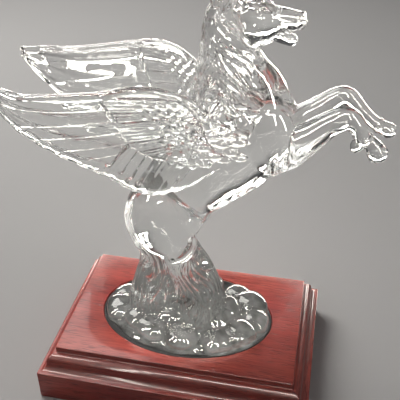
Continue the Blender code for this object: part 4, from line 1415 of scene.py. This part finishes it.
def plinth_profile(height):
    """Inset and height of each line around the plinth, from the underside to the panel, in millimetres."""
    half = PANEL_INSET / 2
    ledge = height - PANEL_STEP
    lip = ledge - OGEE_DROP
    rise = OGEE_DROP / 2
    rows = [(0.0, 0.0), (0.0, lip - LIP_STEP), (0.0, lip)]
    for i in range(1, ARC_STEPS + 1):
        angle = math.radians(90 * i / ARC_STEPS)
        rows.append((half * math.sin(angle), lip + rise * (1 - math.cos(angle))))
    for i in range(1, ARC_STEPS + 1):
        angle = math.radians(90 * i / ARC_STEPS)
        rows.append((half + half * (1 - math.cos(angle)), lip + rise + rise * math.sin(angle)))
    rows.append((PANEL_INSET, height))
    return rows


class FigureSettings(bpy.types.PropertyGroup):
    voxel: bpy.props.FloatProperty(
        name="Voxel", description="How finely the figure is fused",
        default=0.0004, precision=5, unit="LENGTH",
    )
    smoothing: bpy.props.IntProperty(
        name="Smoothing", description="How often the fused figure is rounded off", default=2
    )
    triangles: bpy.props.IntProperty(
        name="Triangles", description="Triangles of the finished figure", default=188000
    )
    tint: bpy.props.FloatVectorProperty(
        name="Tint", description="Colour of the crystal", subtype="COLOR", default=(0.985, 0.995, 0.99)
    )
    refraction: bpy.props.FloatProperty(name="Refraction", description="Index of refraction", default=1.57)


class PlinthSettings(bpy.types.PropertyGroup):
    length: bpy.props.FloatProperty(
        name="Length", description="Long side of the plinth", default=PLINTH_LENGTH * MM, unit="LENGTH"
    )
    width: bpy.props.FloatProperty(
        name="Width", description="Short side of the plinth", default=PLINTH_WIDTH * MM, unit="LENGTH"
    )
    red: bpy.props.FloatVectorProperty(
        name="Red", description="Main tone of the wood", subtype="COLOR", default=(0.50, 0.072, 0.058)
    )
    warm: bpy.props.FloatVectorProperty(
        name="Warm", description="Orange tone of the wood", subtype="COLOR", default=(0.64, 0.135, 0.092)
    )
    deep: bpy.props.FloatVectorProperty(
        name="Deep", description="Dark bands of the wood", subtype="COLOR", default=(0.30, 0.036, 0.032)
    )
    pore: bpy.props.FloatVectorProperty(
        name="Pores", description="Colour of the pores", subtype="COLOR", default=(0.12, 0.016, 0.015)
    )


class FeltSettings(bpy.types.PropertyGroup):
    thickness: bpy.props.FloatProperty(
        name="Thickness", description="Thickness of the felt", default=FELT_THICKNESS * MM, unit="LENGTH"
    )
    black: bpy.props.FloatVectorProperty(
        name="Black", description="Colour of the felt", subtype="COLOR", default=(0.006, 0.006, 0.0065)
    )
    lint: bpy.props.FloatVectorProperty(
        name="Lint", description="Colour of its lighter fibres", subtype="COLOR", default=(0.03, 0.029, 0.03)
    )


class StageSettings(bpy.types.PropertyGroup):
    floor: bpy.props.FloatVectorProperty(
        name="Floor", description="Colour of the floor", subtype="COLOR", default=(0.52, 0.51, 0.50)
    )
    window: bpy.props.FloatProperty(name="Window", description="Strength of the window light", default=1.0)
    strips: bpy.props.FloatProperty(
        name="Strips", description="Strength of the mirrored strip lights", default=1.0
    )
    lens: bpy.props.FloatProperty(name="Lens", description="Focal length", default=59.99)


class ORNAMENT_OT_crystal_figure(bpy.types.Operator):
    """Builds the crystal pegasus with its cloud base"""

    bl_idname = "ornament.crystal_figure"
    bl_label = "Crystal figure"

    def execute(self, context):
        settings = context.scene.ornament_figure
        horse = horse_parts()
        skin = outside_of(horse)
        parts = horse + mane_parts() + tail_parts() + cloud_parts() + hoof_parts()
        parts += face_parts(skin) + hock_parts(skin)
        for side in (-1, 1):
            wing = wing_parts(side)
            parts += wing + shoulder_scales(outside_of(horse + wing), side)
        figure = rough_casting("crystal_figure", parts)
        modify(figure, "REMESH", mode="VOXEL", voxel_size=settings.voxel)
        keep_outer_skin(figure)
        modify(figure, "SMOOTH", factor=SMOOTHING_FACTOR, iterations=settings.smoothing)
        share = settings.triangles / (2 * len(figure.data.polygons))
        modify(figure, "DECIMATE", ratio=min(1.0, share), use_collapse_triangulate=True)
        cut_foot(figure, (PLINTH_HEIGHT + FOOT_LEVEL) * MM)
        press_in(figure, HOLLOWS)
        keep_in_box(figure, *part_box("pegasus"))
        smooth_shading(figure, FIGURE_CREASE)
        figure.data.materials.append(crystal_material(settings))
        figure.data.materials.append(painted_shade_ground_material(settings))
        # The downward faces of the foot take the matt finish whose dark grey is painted shade, standing for
        # the black felt seen through the glass
        foot = (PLINTH_HEIGHT + FOOT_LEVEL + GROUND_MARGIN) * MM
        for face in figure.data.polygons:
            if face.center.z < foot and face.normal.z < -LEVEL_FROM:
                face.material_index = 1
        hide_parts("pegasus")
        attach(figure, "root")
        return {"FINISHED"}


class ORNAMENT_OT_plinth(bpy.types.Operator):
    """Builds the moulded mahogany plinth with its oval recess"""

    bl_idname = "ornament.plinth"
    bl_label = "Mahogany plinth"

    def execute(self, context):
        settings = context.scene.ornament_plinth
        deselect_all()
        bpy.ops.mesh.primitive_plane_add(size=1, location=(0, 0, 0))
        plinth = context.object
        plinth.name = "mahogany_plinth"
        bpy.ops.object.mode_set(mode="EDIT")
        bpy.ops.mesh.select_all(action="SELECT")
        length, width = settings.length, settings.width
        bpy.ops.transform.resize(value=(length, width, 1))
        inset_before, height_before = 0.0, 0.0
        for inset, height in plinth_profile(PLINTH_HEIGHT)[1:]:
            rise = (height - height_before) * MM
            bpy.ops.mesh.extrude_region_move(TRANSFORM_OT_translate={"value": (0, 0, rise)})
            if inset != inset_before:
                before = (length - 2 * inset_before * MM, width - 2 * inset_before * MM)
                after = (length - 2 * inset * MM, width - 2 * inset * MM)
                share = (after[0] / before[0], after[1] / before[1], 1)
                bpy.ops.transform.resize(value=share, center_override=(0, 0, height * MM))
            inset_before, height_before = inset, height
        bpy.ops.mesh.select_all(action="SELECT")
        bpy.ops.mesh.normals_make_consistent(inside=False)
        bpy.ops.object.mode_set(mode="OBJECT")
        cut_recess(plinth)
        round_edges(plinth, EDGE_BREAK)
        smooth_shading(plinth, PLINTH_CREASE)
        plinth.data.materials.append(mahogany_material("mahogany_along", settings, 0))
        plinth.data.materials.append(mahogany_material("mahogany_across", settings, 1))
        grain_by_mitre(plinth)
        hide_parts("plinth")
        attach(plinth, "root")
        return {"FINISHED"}


def oval_block(name, half_length, half_width, low, high):
    """An upright oval block, in millimetres, from a cylinder."""
    deselect_all()
    bpy.ops.mesh.primitive_cylinder_add(
        vertices=OVAL_SIDES, radius=1, depth=(high - low) * MM, location=(0, 0, (high + low) / 2 * MM)
    )
    block = bpy.context.object
    block.name = name
    block.scale = (half_length * MM, half_width * MM, 1)
    bpy.ops.object.transform_apply(location=True, rotation=True, scale=True)
    return block


def cut_recess(plinth):
    """Sinks the oval recess into the panel."""
    floor = PLINTH_HEIGHT - RECESS_DEPTH
    top = PLINTH_HEIGHT + CUTTER_RISE
    cutter = oval_block("recess_cutter", RECESS_HALF_LENGTH, RECESS_HALF_WIDTH, floor, top)
    modify(plinth, "BOOLEAN", operation="DIFFERENCE", object=cutter, solver="EXACT")
    bpy.data.objects.remove(cutter)


def grain_by_mitre(plinth):
    """Gives the two short mouldings their grain along their own length, so that the corners are mitred."""
    half_length, half_width = PLINTH_LENGTH * MM / 2, PLINTH_WIDTH * MM / 2
    top = (PLINTH_HEIGHT - EDGE_BREAK) * MM
    moulding = half_length - (PANEL_INSET + 1) * MM
    for face in plinth.data.polygons:
        x, y, z = face.center
        beside = abs(x) - half_length > abs(y) - half_width
        face.material_index = 1 if beside and z < top and abs(x) > moulding else 0


class ORNAMENT_OT_felt_liner(bpy.types.Operator):
    """Builds the black felt tray that lines the recess"""

    bl_idname = "ornament.felt_liner"
    bl_label = "Felt liner"

    def execute(self, context):
        settings = context.scene.ornament_felt
        floor = PLINTH_HEIGHT - RECESS_DEPTH + GAP
        rim = PLINTH_HEIGHT - FELT_BELOW_TOP
        felt = oval_block("felt_tray", RECESS_HALF_LENGTH - GAP, RECESS_HALF_WIDTH - GAP, floor, rim)
        bpy.ops.object.mode_set(mode="EDIT")
        bpy.ops.mesh.select_all(action="DESELECT")
        bpy.ops.object.mode_set(mode="OBJECT")
        for face in felt.data.polygons:
            face.select = face.normal.z > LEVEL_FROM
        bpy.ops.object.mode_set(mode="EDIT")
        bpy.ops.mesh.inset(thickness=settings.thickness)
        sink = settings.thickness - (rim - floor) * MM
        bpy.ops.mesh.extrude_region_move(TRANSFORM_OT_translate={"value": (0, 0, sink)})
        bpy.ops.object.mode_set(mode="OBJECT")
        round_edges(felt, FELT_EDGE_BREAK)
        smooth_shading(felt, FELT_CREASE)
        felt.data.materials.append(felt_material(settings))
        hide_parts("felt_liner")
        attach(felt, "root")
        return {"FINISHED"}


class ORNAMENT_OT_stage(bpy.types.Operator):
    """Builds the pale floor, the soft lights and the camera"""

    bl_idname = "ornament.stage"
    bl_label = "Stage"

    def execute(self, context):
        settings = context.scene.ornament_stage
        deselect_all()
        bpy.ops.mesh.primitive_plane_add(size=FLOOR_SIZE, location=(0, 0, 0))
        floor = context.object
        floor.name = "floor"
        floor.data.materials.append(floor_material(settings))
        studio_world(context.scene)
        for name, power, size, place, diffuse in SOFT_LIGHTS:
            strength = settings.window if diffuse else settings.strips
            soft_light(name, power * strength, size, place, diffuse)
        add_camera(context.scene, settings)
        context.scene.view_settings.view_transform = "Standard"
        context.scene.cycles.max_bounces = MOST_BOUNCES
        context.scene.cycles.transmission_bounces = CLEAR_BOUNCES
        context.scene.cycles.glossy_bounces = GLOSSY_BOUNCES
        return {"FINISHED"}


def floor_material(settings):
    """A plain pale matt floor."""
    made, tree = plain_material("pale_floor")
    shade = tuple(value * FLOOR_SHADE for value in settings.floor)
    set_shader(tree, {
        "Base Color": blend_of(tree, mottle_in(tree, FLOOR_PATCHES), tuple(settings.floor), shade),
        "Roughness": 0.85,
        "Specular IOR Level": 0.0,
    })
    return made


def studio_world(scene):
    """A dim neutral room, lighter above."""
    world = bpy.data.worlds.new("studio")
    scene.world = world
    world.use_nodes = True
    tree = world.node_tree
    place = tree.nodes.new("ShaderNodeTexCoord")
    apart = tree.nodes.new("ShaderNodeSeparateXYZ")
    ramp = tree.nodes.new("ShaderNodeValToRGB")
    tree.links.new(place.outputs["Generated"], apart.inputs["Vector"])
    tree.links.new(apart.outputs["Z"], ramp.inputs["Fac"])
    tree.links.new(ramp.outputs["Color"], tree.nodes["Background"].inputs["Color"])
    ramp.color_ramp.elements[0].color = (*WORLD_LOW, 1)
    ramp.color_ramp.elements[1].color = (*WORLD_HIGH, 1)


def soft_light(name, power, size, place, diffuse):
    """A rectangular soft light aimed at the figure. Without diffuse, only gloss and crystal show it."""
    data = bpy.data.lights.new(name, "AREA")
    data.shape = "RECTANGLE"
    data.size, data.size_y = size
    data.energy = power
    data.color = WINDOW_COLOUR if diffuse else STRIP_COLOUR
    light = bpy.data.objects.new(name, data)
    bpy.context.scene.collection.objects.link(light)
    light.visible_diffuse = diffuse
    toward = (Vector(LIGHT_AIM) - Vector(place)).normalized()
    facing = toward.to_track_quat("-Z", "Y").to_matrix().to_4x4()
    light.matrix_world = Matrix.Translation(place) @ facing


def add_camera(scene, settings):
    """The camera at the photograph's viewing angle."""
    turn, rise, roll = (math.radians(value) for value in CAMERA_ANGLES)
    back = Vector((math.sin(turn) * math.cos(rise), -math.cos(turn) * math.cos(rise), math.sin(rise)))
    right = (-back).cross(Vector((0, 0, 1))).normalized()
    up = right.cross(-back)
    rolled_right = right * math.cos(roll) + up * math.sin(roll)
    rolled_up = up * math.cos(roll) - right * math.sin(roll)
    data = bpy.data.cameras.new("camera")
    data.lens = settings.lens
    data.sensor_width = CAMERA_SENSOR
    data.sensor_fit = "HORIZONTAL"
    data.clip_start = CAMERA_CLIP
    camera = bpy.data.objects.new("camera", data)
    scene.collection.objects.link(camera)
    facing = Matrix((rolled_right, rolled_up, back)).transposed().to_4x4()
    camera.matrix_world = Matrix.Translation(CAMERA_PLACE) @ facing
    scene.camera = camera


class ORNAMENT_PT_pieces(bpy.types.Panel):
    """Lists the pieces of the ornament"""

    bl_idname = "ORNAMENT_PT_pieces"
    bl_label = "Ornament"
    bl_space_type = "VIEW_3D"
    bl_region_type = "UI"
    bl_category = "Ornament"

    def draw(self, context):
        scene = context.scene
        groups = (
            (
                scene.ornament_figure,
                ORNAMENT_OT_crystal_figure,
                ("voxel", "smoothing", "triangles", "tint", "refraction"),
            ),
            (scene.ornament_plinth, ORNAMENT_OT_plinth, ("length", "width", "red", "warm", "deep", "pore")),
            (scene.ornament_felt, ORNAMENT_OT_felt_liner, ("thickness", "black", "lint")),
            (scene.ornament_stage, ORNAMENT_OT_stage, ("floor", "window", "strips", "lens")),
        )
        for settings, operator, names in groups:
            column = self.layout.column(align=True)
            for name in names:
                column.prop(settings, name)
            column.operator(operator.bl_idname)


SETTINGS = {
    "ornament_figure": FigureSettings,
    "ornament_plinth": PlinthSettings,
    "ornament_felt": FeltSettings,
    "ornament_stage": StageSettings,
}
OPERATORS = (
    ORNAMENT_OT_crystal_figure,
    ORNAMENT_OT_plinth,
    ORNAMENT_OT_felt_liner,
    ORNAMENT_OT_stage,
)


def register():
    for kind in (*SETTINGS.values(), *OPERATORS, ORNAMENT_PT_pieces):
        bpy.utils.register_class(kind)
    for name, kind in SETTINGS.items():
        setattr(bpy.types.Scene, name, bpy.props.PointerProperty(type=kind))


def unregister():
    for name in SETTINGS:
        delattr(bpy.types.Scene, name)
    for kind in (ORNAMENT_PT_pieces, *reversed(OPERATORS), *SETTINGS.values()):
        bpy.utils.unregister_class(kind)


def main():
    register()
    bpy.ops.ornament.stage()
    bpy.ops.ornament.plinth()
    bpy.ops.ornament.felt_liner()
    bpy.ops.ornament.crystal_figure()


if __name__ == "__main__":
    main()
